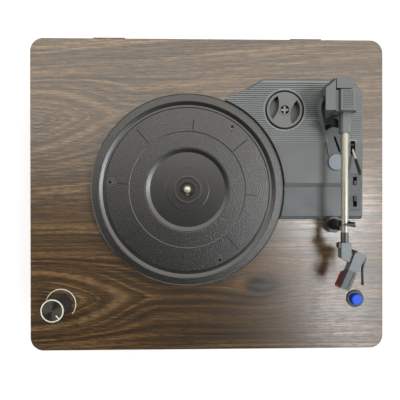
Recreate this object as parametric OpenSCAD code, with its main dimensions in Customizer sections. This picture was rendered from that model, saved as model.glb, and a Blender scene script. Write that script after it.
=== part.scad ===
// Record player with a walnut cabinet, a moulded plinth, a belt-driven platter and a cueing tone arm.
// Millimetres. The origin is on the table under the middle of the object, +Z is up and +Y is the back.

/* [Cabinet] */
// Width of the cabinet, left to right
cabinet_w = 382; // [376:1:420]
// Depth of the cabinet, front to back
cabinet_d = 336; // [326:1:380]
// Height of the cabinet without its feet
cabinet_h = 94; // [88:1:120]
// Radius of the four upright corners
corner_r = 14; // [4:0.5:14.5]
// Thickness of the side, front and rear panels
panel_t = 12; // [12:0.5:16]
// Thickness of the top deck
deck_t = 9; // [7:0.5:11]
// Thickness of the base panel
base_t = 6; // [5:0.5:8]
// Side of the square glue blocks in the inner corners
block_w = 22; // [16:1:26]
// Height of the glue blocks
block_h = 40; // [25:1:60]

/* [Feet] */
// Height of the rubber feet
foot_h = 10; // [8:0.5:16]
// Radius of the feet at the base panel
foot_r = 14; // [11:0.5:18]
// Distance of a foot's centre from the cabinet's outer faces
foot_inset = 36; // [33:1:60]

/* [Front and rear] */
// Distance of each loudspeaker from the middle
speaker_x = 108; // [80:1:116]
// Radius of the loudspeaker openings
speaker_open_r = 29; // [24:0.5:31]
// Width of the rim that the grilles and loudspeakers rest on
speaker_rim = 5; // [4:0.5:6]
// Thickness of the grilles
grille_t = 2.6; // [2:0.1:4]
// Depth of a loudspeaker behind the front panel
speaker_depth = 36; // [30:1:44]
// Distance of each hinge socket from the middle
hinge_x = 107; // [90:1:130]
// Width of a hinge socket
hinge_w = 34; // [30:1:44]
// Height of a hinge socket
hinge_h = 34; // [30:1:40]
// How far a hinge socket stands out from the rear panel
hinge_proud = 4; // [3.6:0.1:6]
// Thickness of a hinge socket's backing plate
hinge_plate_t = 1.4; // [1:0.1:1.6]
// Middle of the jack recess, from the middle of the cabinet
jack_x = 70; // [40:1:100]
// Width of the jack recess
jack_w = 60; // [54:1:80]
// Height of the jack recess
jack_h = 24; // [20:1:30]
// Height of the jack recess's middle above the underside of the cabinet
jack_z = 32; // [26:1:36]

/* [Platter] */
// Spindle, in from the cabinet's right side
spindle_inset = 213; // [211:0.5:215]
// Spindle, behind the cabinet's middle
spindle_y = 4.6; // [2:0.2:8]
// Radius of the spindle
spindle_r = 3.58; // [3.5:0.01:3.6]
// Height of the spindle's tip above the deck
spindle_top = 27; // [24:0.5:32]
// Radius of the platter
platter_r = 100; // [98:0.5:101]
// Height of the platter's rim above the deck
platter_top = 15.8; // [15:0.2:16.2]
// Radius of the belt track under the platter
track_r = 50; // [46:0.5:52]
// Radius of the motor pulley
pulley_r = 4; // [3.5:0.1:4.5]
// Distance of the motor from the spindle
motor_reach = 62; // [60:0.5:64]
// Direction of the motor seen from the spindle
motor_angle = 135; // [110:1:215]
// Radius of the motor's can
motor_r = 16; // [12:0.5:16]
// Height of the motor's can
motor_h = 24; // [16:0.5:30]

/* [Plinth] */
// Height of the plinth's top above the deck
plinth_h = 7.5; // [7:0.1:8]
// Thickness of the plinth's skin
plinth_skin = 2.5; // [2.2:0.1:2.8]
// Right edge of the plinth, from the spindle
plinth_right = 188; // [187:0.5:194]
// Rear edge of the plinth, from the spindle
plinth_back = 118.6; // [117:0.2:124]
// Front edge of the plinth, from the spindle
plinth_front = -31.7; // [-34:0.1:-30]
// Gap between the platter's rim and the plinth
platter_gap = 3.5; // [2:0.25:4]
// Distance from one rib of the plinth to the next
rib_pitch = 2.2; // [1.8:0.1:3]
// Depth of the grooves between the ribs
rib_depth = 0.5; // [0.3:0.05:0.8]
// Radius of the 45 rpm adapter
adapter_r = 19; // [18.5:0.05:19.2]
// Height of the 45 rpm adapter
adapter_h = 6; // [5.6:0.1:7]
// Gap round the 45 rpm adapter
adapter_gap = 2; // [0.8:0.05:2.2]

/* [Tone arm] */
// Arm pivot, to the right of the spindle
pivot_x = 156; // [155:0.25:157]
// Arm pivot, behind the spindle
pivot_y = 87; // [86:0.5:88]
// Height of the arm tube's axis above the deck
arm_z = 31; // [30:0.25:32]
// Radius of the arm tube
tube_r = 3.1; // [2.8:0.05:3.3]
// Wall of the arm tube
tube_wall = 0.6; // [0.4:0.05:1]
// Distance from the pivot to the front end of the tube
tube_reach = 137; // [136:0.25:138]
// Angle of the headshell to the arm
head_angle = 25; // [22:0.5:28]
// Width of the headshell's front part
head_w = 9.2; // [9:0.1:10.5]
// Height of the stylus tip above the deck
stylus_z = 16.8; // [16.4:0.1:17]
// Radius of the arm pivot pins
pivot_pin_r = 1.5; // [1.2:0.05:1.8]
// Radius of the upright arm shaft
arm_shaft_r = 4; // [3:0.1:4.5]
// Arm rest, in front of the spindle
rest_y = -37; // [-38:0.25:-36]

/* [Controls] */
// Volume knob, in from the cabinet's left side
knob_from_left = 32.3; // [30:0.1:34]
// Volume knob, behind the cabinet's front
knob_from_front = 49.9; // [48:0.1:52]
// Radius of the volume knob
knob_r = 12.2; // [10:0.1:14]
// Height of the volume knob
knob_h = 20; // [14:0.5:24]
// Push button, in from the cabinet's right side
button_from_right = 30.6; // [29:0.1:33]
// Push button, behind the cabinet's front
button_from_front = 54.1; // [52:0.1:56]
// Radius of the push button's cap
button_r = 5.9; // [5:0.1:6.5]
// Height of the push button above the deck
button_h = 5.5; // [4:0.1:7]
// Travel of the push button
button_travel = 2; // [1:0.1:2.5]
// Travel of the auto stop slider
auto_stop_travel = 4; // [3:0.1:4.2]
// Travel of the speed slider
speed_travel = 5.6; // [4:0.1:5.6]
// Radius of the cue lever's rod
cue_rod_r = 1; // [0.9:0.05:1.2]
// Angle of the cue lever above the plinth
cue_angle = 30; // [28:1:34]
// Length of the cue lever from its pivot
cue_reach = 38.5; // [36:0.5:46]

/* [Clearances] */
// Gap between faces that pass each other
slip = 0.3; // [0.25:0.05:0.35]
// Running clearance of a pin or shaft in its bore
running = 0.06; // [0.03:0.01:0.1]
// Gap round pieces that are set into a recess
inset_gap = 0.2; // [0.1:0.05:0.3]

/* [Hidden] */
$fn = 64;
cut = 0.5;
far = 200;
deck_z = foot_h + cabinet_h;
wall_top = deck_z - deck_t;
base_top = foot_h + base_t;
cabinet_y = -hinge_proud / 2;
spindle_x = cabinet_w / 2 - spindle_inset;
knob_x = knob_from_left - cabinet_w / 2;
knob_y = knob_from_front - cabinet_d / 2;
button_x = cabinet_w / 2 - button_from_right;
button_y = button_from_front - cabinet_d / 2;
room_mid = (base_top + wall_top) / 2;
inner_x = cabinet_w / 2 - panel_t;
inner_y = cabinet_d / 2 - panel_t;
deck_ledge = 8;
foot_taper = 2;

screw_r = 1.7;
screw_head_r = 3.2;
screw_head_h = 2;
screw_bite = 3;
blind_skin = 1;
tip_gap = 0.5;
small_screw_r = 1.2;
small_head_r = 2.4;
small_head_h = 1.2;

grille_slot = 2.6;
grille_step = 4.6;
grille_margin = 2;
speaker_flange_t = 3;
surround_w = 4;
surround_h = 2;
cone_r = 8;
cone_depth = 12;
magnet_r = 19;
magnet_h = 16;

hinge_drop = 1;
hinge_screw_inset = 4;
hinge_screw_drop = 21;
sleeve_inset = 7;
sleeve_shoulder = 10;
sleeve_wall = 1.5;
sleeve_face = 0.8;

jack_plate_t = 2;
jack_margin = 6;
jack_places = [-18, -2];
jack_r = 4.1;
jack_flange_r = 6;
jack_bore_r = 1.7;
jack_bore = 10;
jack_back = 8;
jack_proud = 6;
inlet_place = 18;
inlet_r = 5.6;
inlet_flange_r = 7.5;
inlet_bore_r = 3.2;
inlet_pin_r = 1;
inlet_bore = 12;
inlet_back = 12;
inlet_proud = 4;

board_w = 90;
board_d = 58;
board_t = 1.6;
board_from_right = 95;
board_from_front = 110;
board_mid = [cabinet_w / 2 - board_from_right, board_from_front - cabinet_d / 2];
board_lift = 8;
board_post_inset = 6;
board_post_tip = 2;
post_r = 3;
heat_sink = [30, 16, 14];
heat_sink_at = [-28, -8, 0];
capacitor_r = 5;
capacitor_h = 16;
capacitor_places = [[12, 8, 0], [24, 8, 0]];
chip = [16, 16, 3];
chip_at = [10, -16, 0];

pan_r = 93;
pan_t = 2;
deck_hole_r = 86;
pan_gap = 1;
pan_rim = 2.5;
pan_drop = 8;
pan_bridge_to = [113.5, 60];
pan_screw_angles = [105, 160, 215, 270];
pan_screw_skin = 0.6;
boss_r = 9;
boss_top = 3.2;
spindle_dome = 2.4;
clip_t = 0.8;
clip_r = 6.2;
clip_groove = 0.7;
clip_play = 0.05;
clip_mouth = 3.2;

rim_rise = 1.6;
disc_z = platter_top - rim_rise;
platter_web = 4.2;
platter_under = disc_z - platter_web;
skirt_z = 5;
skirt_w = 2.5;
track_w = 3;
hub_r = 11;
hub_bottom = boss_top + slip;
bush_r = 6;
bush_top = 9;
hub_recess_r = 7.6;
hub_ring = [12, 15];
hub_ring_h = 0.4;
recess_z = disc_z - 1.6;
recess_r = 39;
recess_slope = 4;
line_r = 22.2;
line_w = 0.6;
line_depth = 0.3;
step_r = 60;
step_w = 0.8;
step_drop = 0.3;
// Distance from the rim and height from the disc, from the disc's edge over the slope to the rim
rim_profile = [[15.6, 0], [15.4, -0.9], [14.7, -0.9], [14.4, 0.1], [12.4, 0.1], [9.4, 1.45], [8.8, rim_rise],
    [1.8, 1], [0.5, 0.2], [0, -1]];
mark_r = 61.7;
mark_w = 0.9;
mark_depth = 0.4;
mark_long = 19.8;
mark_short = 10.9;
mark_turn = -5;
eyelet_turn = 54.5;
eyelet_inset = 21;
eyelet_r = 4.2;
eyelet_h = 0.4;
eyelet_hole_r = 1.4;
eyelet_hole_out = 0.8;
eyelet_ring = [3.3, 2.5];
eyelet_ring_drop = 0.6;

belt_t = 1;
belt_h = 4;
belt_z = 5;
belt_overlap = 0.6;
belt_thin = 0.06;
pulley_flange = 0.8;
pulley_bottom = belt_z - slip - pulley_flange;
pulley_gap = 2;
motor_gap = 4;
motor_boss_r = 3;
motor_boss_inset = 4;
motor_shaft_r = 1;
motor_bore = 6;

plinth_arc_r = platter_r + platter_gap;
plinth_wall = 3;
plinth_bevel = 2.4;
corner_bevel = 2.2;
seam = 0.01;
back_left_x = 80.9;
diag_angle = 29.5;
diag_len = 60;
corner_cut = [11.2, 13.5];
corner_angle = atan2(corner_cut[0], corner_cut[1]);
front_left_x = 60;
ledge_h = plinth_h - 2;
ledge_y = 3;
ledge_slope = 4.3;
ledge_bevel = 3.6;
pad_x = 169.5;
pad_front = -21.6;
pad_right = 185.2;
pad_wall = 1.5;
pad_overlap = 8;
rib_front = 51;
rib_w = 1;
rib_back_gap = 4;
slot_land = 1.9;

adapter_pos = [103.2, 85, 0];
adapter_well_r = adapter_r + adapter_gap;
adapter_floor = 1.6;
cup_wall = 1.8;
post_hub_r = 4.4;
post_bar = 2.4;
adapter_hub_r = 6.4;
adapter_hub_h = 0.4;
adapter_window_r = 16.4;
adapter_lens_r = 23;
adapter_lens = [-29, 6.6];

well_r = 13.7;
well_tip_r = 9;
well_len = 46;
well_turn = 5;
well_floor = 2.5;
well_floor_t = 2;
well_wall = 2;
lip_w = 1.8;
lip_h = 1.2;
well_slot_from = [3.3, -30.3];
well_slot_r = 1.1;
well_slot_len = 15.5;
well_slot_turn = 19.6;
pad_disc = [158, 29.4];
pad_disc_r = 8.6;
pad_disc_h = 1.5;
lobe_shift = 1;
lobe_x = pivot_x + lobe_shift;
lobe_r = 9;

bearing_r = 8;
bearing_top = 10;
bearing_drop = 4;
shaft_drop = 3;
yoke_z = bearing_top + slip;
yoke_plate_t = 3.4;
cheek_in = 12.8;
cheek_out = 22.6;
cheek_front = 11.5;
cheek_back = 10;
cheek_corner = 17.8;
cheek_rise = 9;
cheek_top = arm_z + cheek_rise;
cheek_slope = (cheek_corner - cheek_back) / (cheek_out - cheek_in);
cheek_edge = 2;
leg_out = 10.6;
leg_in = 7;
leg_top = 18;
leg_gap = 0.8;
bridge_right = 4;
bridge_back = 20.4;
bridge_front = 10.4;
bridge_top = arm_z + 7;
bridge_gap = 1.7;
bridge_gap_depth = 4;
right_cheek_in = 7.9;
right_cheek_out = 10.1;
right_cheek_top = arm_z + 5;
pin_bite = 4;
pin_end_gap = 0.3;

block_left = 12.2;
block_step = 9;
block_shoulder = 3;
block_right = 5.7;
block_front = 12;
block_back = 8;
block_rise = 11;
block_drop = 7;
block_top = arm_z + block_rise;
block_bottom = arm_z - block_drop;
block_bevel = 2;
// Section of the left cheek, which leans in below its top and steps in under the block
cheek_profile = [[-cheek_in, cheek_top], [-cheek_out, cheek_top], [-cheek_out, cheek_top - cheek_edge],
    [-leg_out, yoke_z], [-leg_in, yoke_z], [-leg_in, leg_top], [-cheek_in, block_bottom - leg_gap]];
block_rib_count = 8;
block_rib_pitch = 2.2;
block_rib_w = 1;
block_rib_depth = 0.6;
block_rib_inset = 2;
block_rib_ends = [1.6, 1.4];
root_r = 4.2;
// Section of the root, flat on top with bevelled sides
root_profile = [[-4.8, -3], [-3.4, -root_r], [3.4, -root_r], [4.8, -3], [4.8, 1.6], [2.6, 3.8], [-3.4, 3.8],
    [-4.8, 2.4]];
root_len = 20;
root_socket = 12;
root_end = block_front + root_len;
fin_w = 5.6;
fin_t = 3;
fin_set_back = 0.8;
fin_end = 4;
weight_x = -1.6;
weight_r = 4.6;
weight_depth = 6;

collar_r = 3.75;
collar_len = 10;
collar_over = 3;
neck_y = -tube_reach - collar_over;
neck_lift = 0.4;
// Plans of the neck from its joint with the collar, and of the lower web from it to the head
neck_plan = [[-4.7, 0], [-4.6, -15.1], [3.1, -19.2], [5.4, -11.6], [5.2, 0]];
web_plan = [[0, -11], [2, -18.5], [8, -21], [11, -13], [5, -9]];
web_drop = 2.6;
head_rise = 3;
head_top = arm_z + head_rise;
head_skin = 1.4;
head_shift = -1.5;
head_reach = 45.8;
head_front = [head_shift, neck_y - head_reach, 0];
head_front_len = 19;
head_rear_len = 20.5;
head_rear_w = 11.8;
head_wall_h = 8;
head_line_w = 0.9;
head_line_depth = 0.5;
head_line_at = [1, 2];
head_seam_w = 0.6;
head_bottom = head_top - head_wall_h;
// Plan of the finger lift from the headshell's rear right corner
lift_plan = [[-1.4, -3.6], [0.6, -2], [-2.6, -13.5], [-2.2, -27.5], [-3.3, -27.5], [-3.7, -13.3], [-2, -5]];
lift_tip = [-2.75, -28.4, 0];
lift_tip_r = 1.5;
lift_drop = 1.6;
lift_h = 2.6;
cartridge_drop = 4.5;
cartridge_z = head_bottom - cartridge_drop;
cartridge_front = 1;
cartridge_back = 2;
holder_h = 4;
holder_w = 5.4;
holder_back = 4;
holder_z = cartridge_z - holder_h;
needle_channel_w = 2.6;
needle_w = 0.8;
needle_front = -1.4;
needle_len = 8;
needle_lift = 1.2;
tip_y = -0.8;
tip_radii = [0.12, 0.4];
needle_root = [2, 3];
needle_root_y = 5.6;

cue_pivot = [176.4, 48.5, 3.5];
cue_hub_r = 2.6;
cue_hub_w = 4.2;
cue_slot_w = 5;
cue_slot = [37.5, 52];
cue_trunnion_r = 1.2;
cue_ear_t = 2;
cue_ear_len = 10;
cue_width = cue_slot_w + 2 * cue_ear_t;
cue_grip_r = 1.8;
cue_grip_len = 19;
cue_grip_end = 2;
cue_grip_taper = [0.3, 0.8];
cue_rod_bite = 3;
platform_in = 18;
platform_out = 25.5;
platform_t = 2;
platform_span = [229, 277];
platform_post = 250;
platform_post_r = 2.4;
platform_foot = -5;
platform_z = arm_z - root_r - slip;

rest_post_r = 5.4;
rest_floor = 1;
rest_w = 6;
rest_lean = 2.4;
rest_left = 6;
rest_arm_h = 8;
rest_post_top = 5;
rest_bevel = 24;
rest_bevel_drop = 1.5;
saddle_z = arm_z - tube_r - slip;
clip_rise = 4.2;
clip_z = arm_z + tube_r + clip_rise;
clip_strap_w = 1.9;
clip_hub_r = 1.7;
clip_pin_r = 0.7;
clip_post_w = 4.4;
clip_pin_inset = 0.4;
clip_x = 5.3;
// Plan of the strap from the clip's pin
strap_plan = [[-10.4, 2.5], [-11, 2], [-11, 1.4], [-10.4, 1], [-2.2, 1], [-1.3, 0], [0, -0.8], [-0.8, 1.6]];

slot_w = 4.1;
slider_w = 3.5;
slider_z = 3;
slider_top = 9.4;
slider_groove = 0.5;
auto_stop_slot = [5, 13.7];
speed_slot = [-18, -6.8];
switch_x = 178.5;
switch_w = 10;
switch_margin = 1.6;
switch_plate_from = [170, -20.9];
switch_plate_to = [184.4, 16.9];
switch_plate_t = 1;
switch_recess = 0.6;
switch_plate_z = plinth_h - switch_recess;
auto_stop_len = auto_stop_slot[1] - auto_stop_slot[0] - auto_stop_travel - 2 * slip;
speed_len = speed_slot[1] - speed_slot[0] - speed_travel - 2 * slip;

knob_cap_t = 0.8;
knob_cap_z = knob_h - knob_cap_t / 2;
knob_edge = 1.1;
knob_lift = 0.8;
knob_taper = 0.6;
knob_round = [0.8, 1.2];
knob_bore_end = knob_h - 5;
pointer = [4.6, 1.2];
pointer_depth = 0.25;
pointer_inset = 6.5;
pointer_turn = -50;
shaft_r = 3;
shaft_foot = 7;
pot_w = 17;
pot_h = 10;
pot_bush_r = 4.5;
pot_bush_drop = 0.4;
bezel_r = 9.5;
bezel_h = 1.6;
bezel_taper = 0.6;
bezel_sleeve_r = 7.4;
cap_round = 0.8;
cap_gap = 1;
cap_bottom = button_travel + cap_gap - deck_t;
stem_r = 2;
stem_len = 3;
switch_body = 14;
switch_body_h = 10;

walnut = [0.34, 0.25, 0.19];
black = [0.08, 0.08, 0.09];
grey = [0.46, 0.48, 0.49];
dark_grey = [0.3, 0.3, 0.31];
metal = [0.75, 0.75, 0.74];

// Frames of reference
module at_cabinet() translate([0, cabinet_y, 0]) children();
module at_spindle() translate([spindle_x, cabinet_y + spindle_y, deck_z]) children();
module at_pivot() at_spindle() translate([pivot_x, pivot_y, 0]) children();
module at_motor() at_spindle() rotate(motor_angle) translate([motor_reach, 0, 0]) children();
module at_knob() at_cabinet() translate([knob_x, knob_y, deck_z]) children();
module at_button() at_cabinet() translate([button_x, button_y, deck_z]) children();
module at_front(x) at_cabinet() translate([x, -cabinet_d / 2, room_mid]) rotate([-90, 0, 0]) children();
module at_jacks() at_cabinet() translate([jack_x, inner_y, foot_h + jack_z]) rotate([-90, 0, 0]) children();

// Shared shapes
module ring(outer, inner, h) {
    difference() {
        cylinder(r = outer, h = h);
        translate([0, 0, -cut]) cylinder(r = inner, h = h + 2 * cut);
    }
}

module bar(from, to) translate(from) cube(to - from);

// A round-ended taper along -Y: a large circle at the origin, a small one len away, sides sag in
module taper_plan(big, small, len, sag = 0) {
    lean = asin((big - small) / len);
    side = [cos(lean), -sin(lean)];
    flip = [-side[0], side[1]];
    wide = big - sag;
    narrow = small - sag;
    circle(big);
    translate([0, -len]) circle(small);
    polygon([wide * side, [0, -len] + narrow * side, [0, -len] + narrow * flip, wide * flip]);
}

module wedge(from, to, reach) {
    mid = (from + to) / 2;
    polygon([[0, 0], reach * [cos(from), sin(from)], 2 * reach * [cos(mid), sin(mid)],
        reach * [cos(to), sin(to)]]);
}

module screw(len) {
    cylinder(r = screw_head_r, h = screw_head_h);
    cylinder(r = screw_r, h = screw_head_h + len);
}

// A 45 degree cut along the top edge from a to b, with the body on its left
module edge_bevel(a, b, size, top) {
    run = norm(b - a);
    over = 20;
    turn = atan2(b[1] - a[1], b[0] - a[0]);
    translate([a[0], a[1], top]) rotate([0, 0, turn]) translate([-over, 0, -size]) rotate([45, 0, 0])
        translate([0, -over, 0]) cube([run + 2 * over, 2 * over, over]);
}

// Cabinet
module cabinet_plan() {
    square([cabinet_w - 2 * corner_r, cabinet_d], center = true);
    square([cabinet_w, cabinet_d - 2 * corner_r], center = true);
    for (x = [-1, 1], y = [-1, 1])
        translate([x * (cabinet_w / 2 - corner_r), y * (cabinet_d / 2 - corner_r)]) circle(corner_r);
}

// A mitred side of the cabinet: half_run is half its length, half_reach its distance from the middle
module mitred_wall(angle, half_run, half_reach) {
    at_cabinet() translate([0, 0, foot_h]) linear_extrude(cabinet_h - deck_t) intersection() {
        cabinet_plan();
        rotate(angle) polygon([[-half_run, -half_reach], [half_run, -half_reach],
            [half_run - panel_t, panel_t - half_reach], [panel_t - half_run, panel_t - half_reach]]);
    }
}

module left_panel() color(walnut) mitred_wall(-90, cabinet_d / 2, cabinet_w / 2);
module right_panel() color(walnut) mitred_wall(90, cabinet_d / 2, cabinet_w / 2);

module front_panel() color(walnut) difference() {
    mitred_wall(0, cabinet_w / 2, cabinet_d / 2);
    for (x = [-speaker_x, speaker_x]) at_front(x) {
        translate([0, 0, -cut]) cylinder(r = speaker_open_r, h = panel_t + 2 * cut);
        translate([0, 0, -cut])
            cylinder(r = speaker_open_r + speaker_rim, h = grille_t + 2 * inset_gap + cut);
    }
}

module rear_panel() color(walnut) difference() {
    mitred_wall(180, cabinet_w / 2, cabinet_d / 2);
    at_jacks() translate([-jack_w / 2, -jack_h / 2, -cut]) cube([jack_w, jack_h, panel_t + 2 * cut]);
    hinge_screw_places() cylinder(r = small_screw_r, h = panel_t);
}

module top_deck() color(walnut) difference() {
    at_cabinet() translate([0, 0, wall_top]) linear_extrude(deck_t) cabinet_plan();
    at_spindle() translate([0, 0, -deck_t - cut]) linear_extrude(deck_t + 2 * cut) {
        circle(deck_hole_r);
        plinth_plan(deck_ledge);
    }
    at_knob()
        translate([0, 0, -deck_t - cut]) cylinder(r = pot_bush_r + inset_gap, h = deck_t + 2 * cut);
    at_button()
        translate([0, 0, -deck_t - cut]) cylinder(r = bezel_sleeve_r + inset_gap, h = deck_t + 2 * cut);
    plinth_screw_places() cylinder(r = screw_r + inset_gap, h = deck_t + screw_head_h + cut);
}

module foot_places() {
    at_cabinet() for (x = [-1, 1], y = [-1, 1])
        translate([x * (cabinet_w / 2 - foot_inset), y * (cabinet_d / 2 - foot_inset), 0]) children();
}

module block_places() {
    at_cabinet() for (x = [-1, 1], y = [-1, 1])
        translate([x * (inner_x - block_w / 2), y * (inner_y - block_w / 2), 0]) children();
}

module base_panel() color([0.3, 0.24, 0.19]) difference() {
    at_cabinet() translate([inset_gap - inner_x, inset_gap - inner_y, foot_h])
        cube([2 * (inner_x - inset_gap), 2 * (inner_y - inset_gap), base_t]);
    foot_places() cylinder(r = screw_r, h = base_top - blind_skin);
    block_places() {
        translate([0, 0, foot_h - cut]) cylinder(r = screw_head_r + inset_gap, h = screw_head_h + cut);
        cylinder(r = screw_r + inset_gap, h = base_top + cut);
    }
}

module corner_blocks() color([0.55, 0.42, 0.28]) difference() {
    block_places() translate([-block_w / 2, -block_w / 2, base_top]) cube([block_w, block_w, block_h]);
    block_places() cylinder(r = screw_r, h = base_top + block_h / 2);
}

module rubber_feet() color(black) foot_places() difference() {
    cylinder(r1 = foot_r - foot_taper, r2 = foot_r, h = foot_h);
    translate([0, 0, -cut])
        cylinder(r = screw_head_r + inset_gap, h = screw_bite + screw_head_h + cut);
    cylinder(r = screw_r + inset_gap, h = foot_h + cut);
}

module base_screws() color(metal) {
    foot_places() translate([0, 0, screw_bite])
        screw(base_top - blind_skin - tip_gap - screw_bite - screw_head_h);
    block_places() translate([0, 0, foot_h]) screw(base_t + block_h / 2 - screw_head_h - tip_gap);
}

// Front and rear pieces
module grille(x) {
    count = floor((speaker_open_r - grille_slot) / grille_step);
    color(black) at_front(x) translate([0, 0, inset_gap]) difference() {
        cylinder(r = speaker_open_r + speaker_rim - inset_gap, h = grille_t + inset_gap);
        for (i = [-count : count]) {
            half = sqrt(pow(speaker_open_r - grille_margin, 2)
                - pow(abs(i) * grille_step + grille_slot / 2, 2));
            translate([-half, i * grille_step - grille_slot / 2, -cut])
                cube([2 * half, grille_slot, grille_t + inset_gap + 2 * cut]);
        }
    }
}

module left_grille() grille(-speaker_x);
module right_grille() grille(speaker_x);

module speaker(x) {
    rim_r = speaker_open_r + speaker_rim;
    color(dark_grey) at_front(x) translate([0, 0, panel_t]) rotate_extrude()
        polygon([[0, cone_depth], [cone_r, cone_depth], [speaker_open_r - surround_w, surround_h],
            [speaker_open_r - surround_w / 2, 0], [rim_r, 0], [rim_r, speaker_flange_t],
            [speaker_open_r, speaker_flange_t], [magnet_r, speaker_depth - magnet_h],
            [magnet_r, speaker_depth], [0, speaker_depth]]);
}

module left_speaker() speaker(-speaker_x);
module right_speaker() speaker(speaker_x);

module hinge_places() {
    at_cabinet() for (x = [-hinge_x, hinge_x])
        translate([x, cabinet_d / 2, deck_z - hinge_drop - hinge_h]) children();
}

module hinge_screw_places() {
    hinge_places() for (x = [-1, 1])
        translate([x * (hinge_w / 2 - hinge_screw_inset), hinge_plate_t, hinge_h - hinge_screw_drop])
            rotate([90, 0, 0]) children();
}

module hinge_sockets() color(black) difference() {
    sleeve_w = hinge_w - 2 * sleeve_inset;
    sleeve_h = hinge_h - sleeve_shoulder;
    hinge_places() {
        translate([-hinge_w / 2, 0, 0]) cube([hinge_w, hinge_plate_t, hinge_h]);
        translate([-sleeve_w / 2, 0, 0]) cube([sleeve_w, hinge_proud, sleeve_h]);
    }
    hinge_places() translate([sleeve_wall - sleeve_w / 2, hinge_plate_t, -cut])
        cube([sleeve_w - 2 * sleeve_wall, hinge_proud - hinge_plate_t - sleeve_face, sleeve_h + 2 * cut]);
    hinge_screw_places() translate([0, 0, -cut])
        cylinder(r = small_screw_r + inset_gap, h = hinge_plate_t + 2 * cut);
}

module rear_screws() color(metal) hinge_screw_places() translate([0, 0, -small_head_h]) {
    cylinder(r = small_head_r, h = small_head_h);
    cylinder(r = small_screw_r, h = small_head_h + panel_t - tip_gap);
}

module jack_plate() color(black) at_jacks() translate([0, 0, -jack_plate_t]) difference() {
    translate([-jack_w / 2 - jack_margin, -jack_h / 2 - jack_margin, 0])
        cube([jack_w + 2 * jack_margin, jack_h + 2 * jack_margin, jack_plate_t]);
    for (x = jack_places) translate([x, 0, -cut]) cylinder(r = jack_r, h = jack_plate_t + 2 * cut);
    translate([inlet_place, 0, -cut]) cylinder(r = inlet_r, h = jack_plate_t + 2 * cut);
}

module line_out_jacks() color("gold") at_jacks() for (x = jack_places) translate([x, 0, 0]) difference() {
    translate([0, 0, -jack_back]) {
        cylinder(r = jack_r, h = jack_back + jack_proud);
        cylinder(r = jack_flange_r, h = jack_back - jack_plate_t);
    }
    translate([0, 0, jack_proud - jack_bore]) cylinder(r = jack_bore_r, h = jack_bore + cut);
}

module power_inlet() color(black) at_jacks() translate([inlet_place, 0, 0]) difference() {
    translate([0, 0, -inlet_back]) {
        cylinder(r = inlet_r, h = inlet_back + inlet_proud);
        cylinder(r = inlet_flange_r, h = inlet_back - jack_plate_t);
    }
    translate([0, 0, inlet_proud - inlet_bore]) ring(inlet_bore_r, inlet_pin_r, inlet_bore + cut);
}

module board_post_places() {
    at_cabinet() translate([board_mid[0], board_mid[1], base_top]) for (x = [-1, 1], y = [-1, 1])
        translate([x * (board_w / 2 - board_post_inset), y * (board_d / 2 - board_post_inset), 0])
            children();
}

module board_posts() color([0.85, 0.85, 0.8]) board_post_places() {
    cylinder(r = post_r, h = board_lift);
    cylinder(r = small_screw_r, h = board_lift + board_t + board_post_tip);
}

module circuit_board() color("darkgreen") {
    difference() {
        at_cabinet() translate([board_mid[0], board_mid[1], base_top + board_lift])
            translate([-board_w / 2, -board_d / 2, 0]) cube([board_w, board_d, board_t]);
        board_post_places() cylinder(r = small_screw_r, h = board_lift + board_t + cut);
    }
    at_cabinet() translate([board_mid[0], board_mid[1], base_top + board_lift + board_t]) {
        translate(heat_sink_at) cube(heat_sink);
        for (place = capacitor_places) translate(place) cylinder(r = capacitor_r, h = capacitor_h);
        translate(chip_at) cube(chip);
    }
}

// Plinth, moved in by a wall's width where inset is given
module plinth_plan(inset = 0) {
    right = plinth_right - inset;
    back = plinth_back - inset;
    left = back_left_x + inset * tan(diag_angle / 2);
    difference() {
        polygon([[left - diag_len * cos(diag_angle), back - diag_len * sin(diag_angle)],
            [front_left_x, plinth_front + inset], [right, plinth_front + inset],
            [right, plinth_back - corner_cut[1] - inset * tan(corner_angle / 2)],
            [plinth_right - corner_cut[0] - inset * tan(45 - corner_angle / 2), back], [left, back]]);
        circle(plinth_arc_r + inset);
    }
}

module well_plan(grow) {
    translate([pivot_x, pivot_y]) rotate(well_turn)
        taper_plan(well_r + grow, well_tip_r + grow, well_len, seam);
}

module plinth_bevels() {
    right = plinth_right;
    back = plinth_back;
    side_back = back - corner_cut[1];
    edge_bevel([right, plinth_front], [right, side_back], plinth_bevel, plinth_h);
    edge_bevel([right, side_back], [right - corner_cut[0], back], corner_bevel, plinth_h);
    edge_bevel([right - corner_cut[0], back], [back_left_x, back], plinth_bevel, plinth_h);
    edge_bevel([back_left_x, back], [back_left_x - cos(diag_angle), back - sin(diag_angle)],
        corner_bevel, plinth_h);
}

module ribs_plan() {
    count = floor((plinth_back - rib_back_gap - rib_front) / rib_pitch);
    difference() {
        for (i = [0 : count]) translate([0, rib_front + i * rib_pitch]) square([far, rib_w]);
        translate(adapter_pos) circle(adapter_well_r + cup_wall);
        well_plan(well_wall + lip_w);
        translate([cue_pivot[0] - cue_slot_w / 2 - slot_land, cue_slot[0]])
            square([cue_slot_w + 2 * slot_land, cue_slot[1] - cue_slot[0] + slot_land]);
    }
}

module ledge_ramp(from, to) {
    slope = atan2(plinth_h - ledge_h, ledge_slope);
    translate([from, ledge_y, ledge_h]) rotate([slope, 0, 0]) cube([to - from, 3 * ledge_slope, plinth_h]);
}

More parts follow.
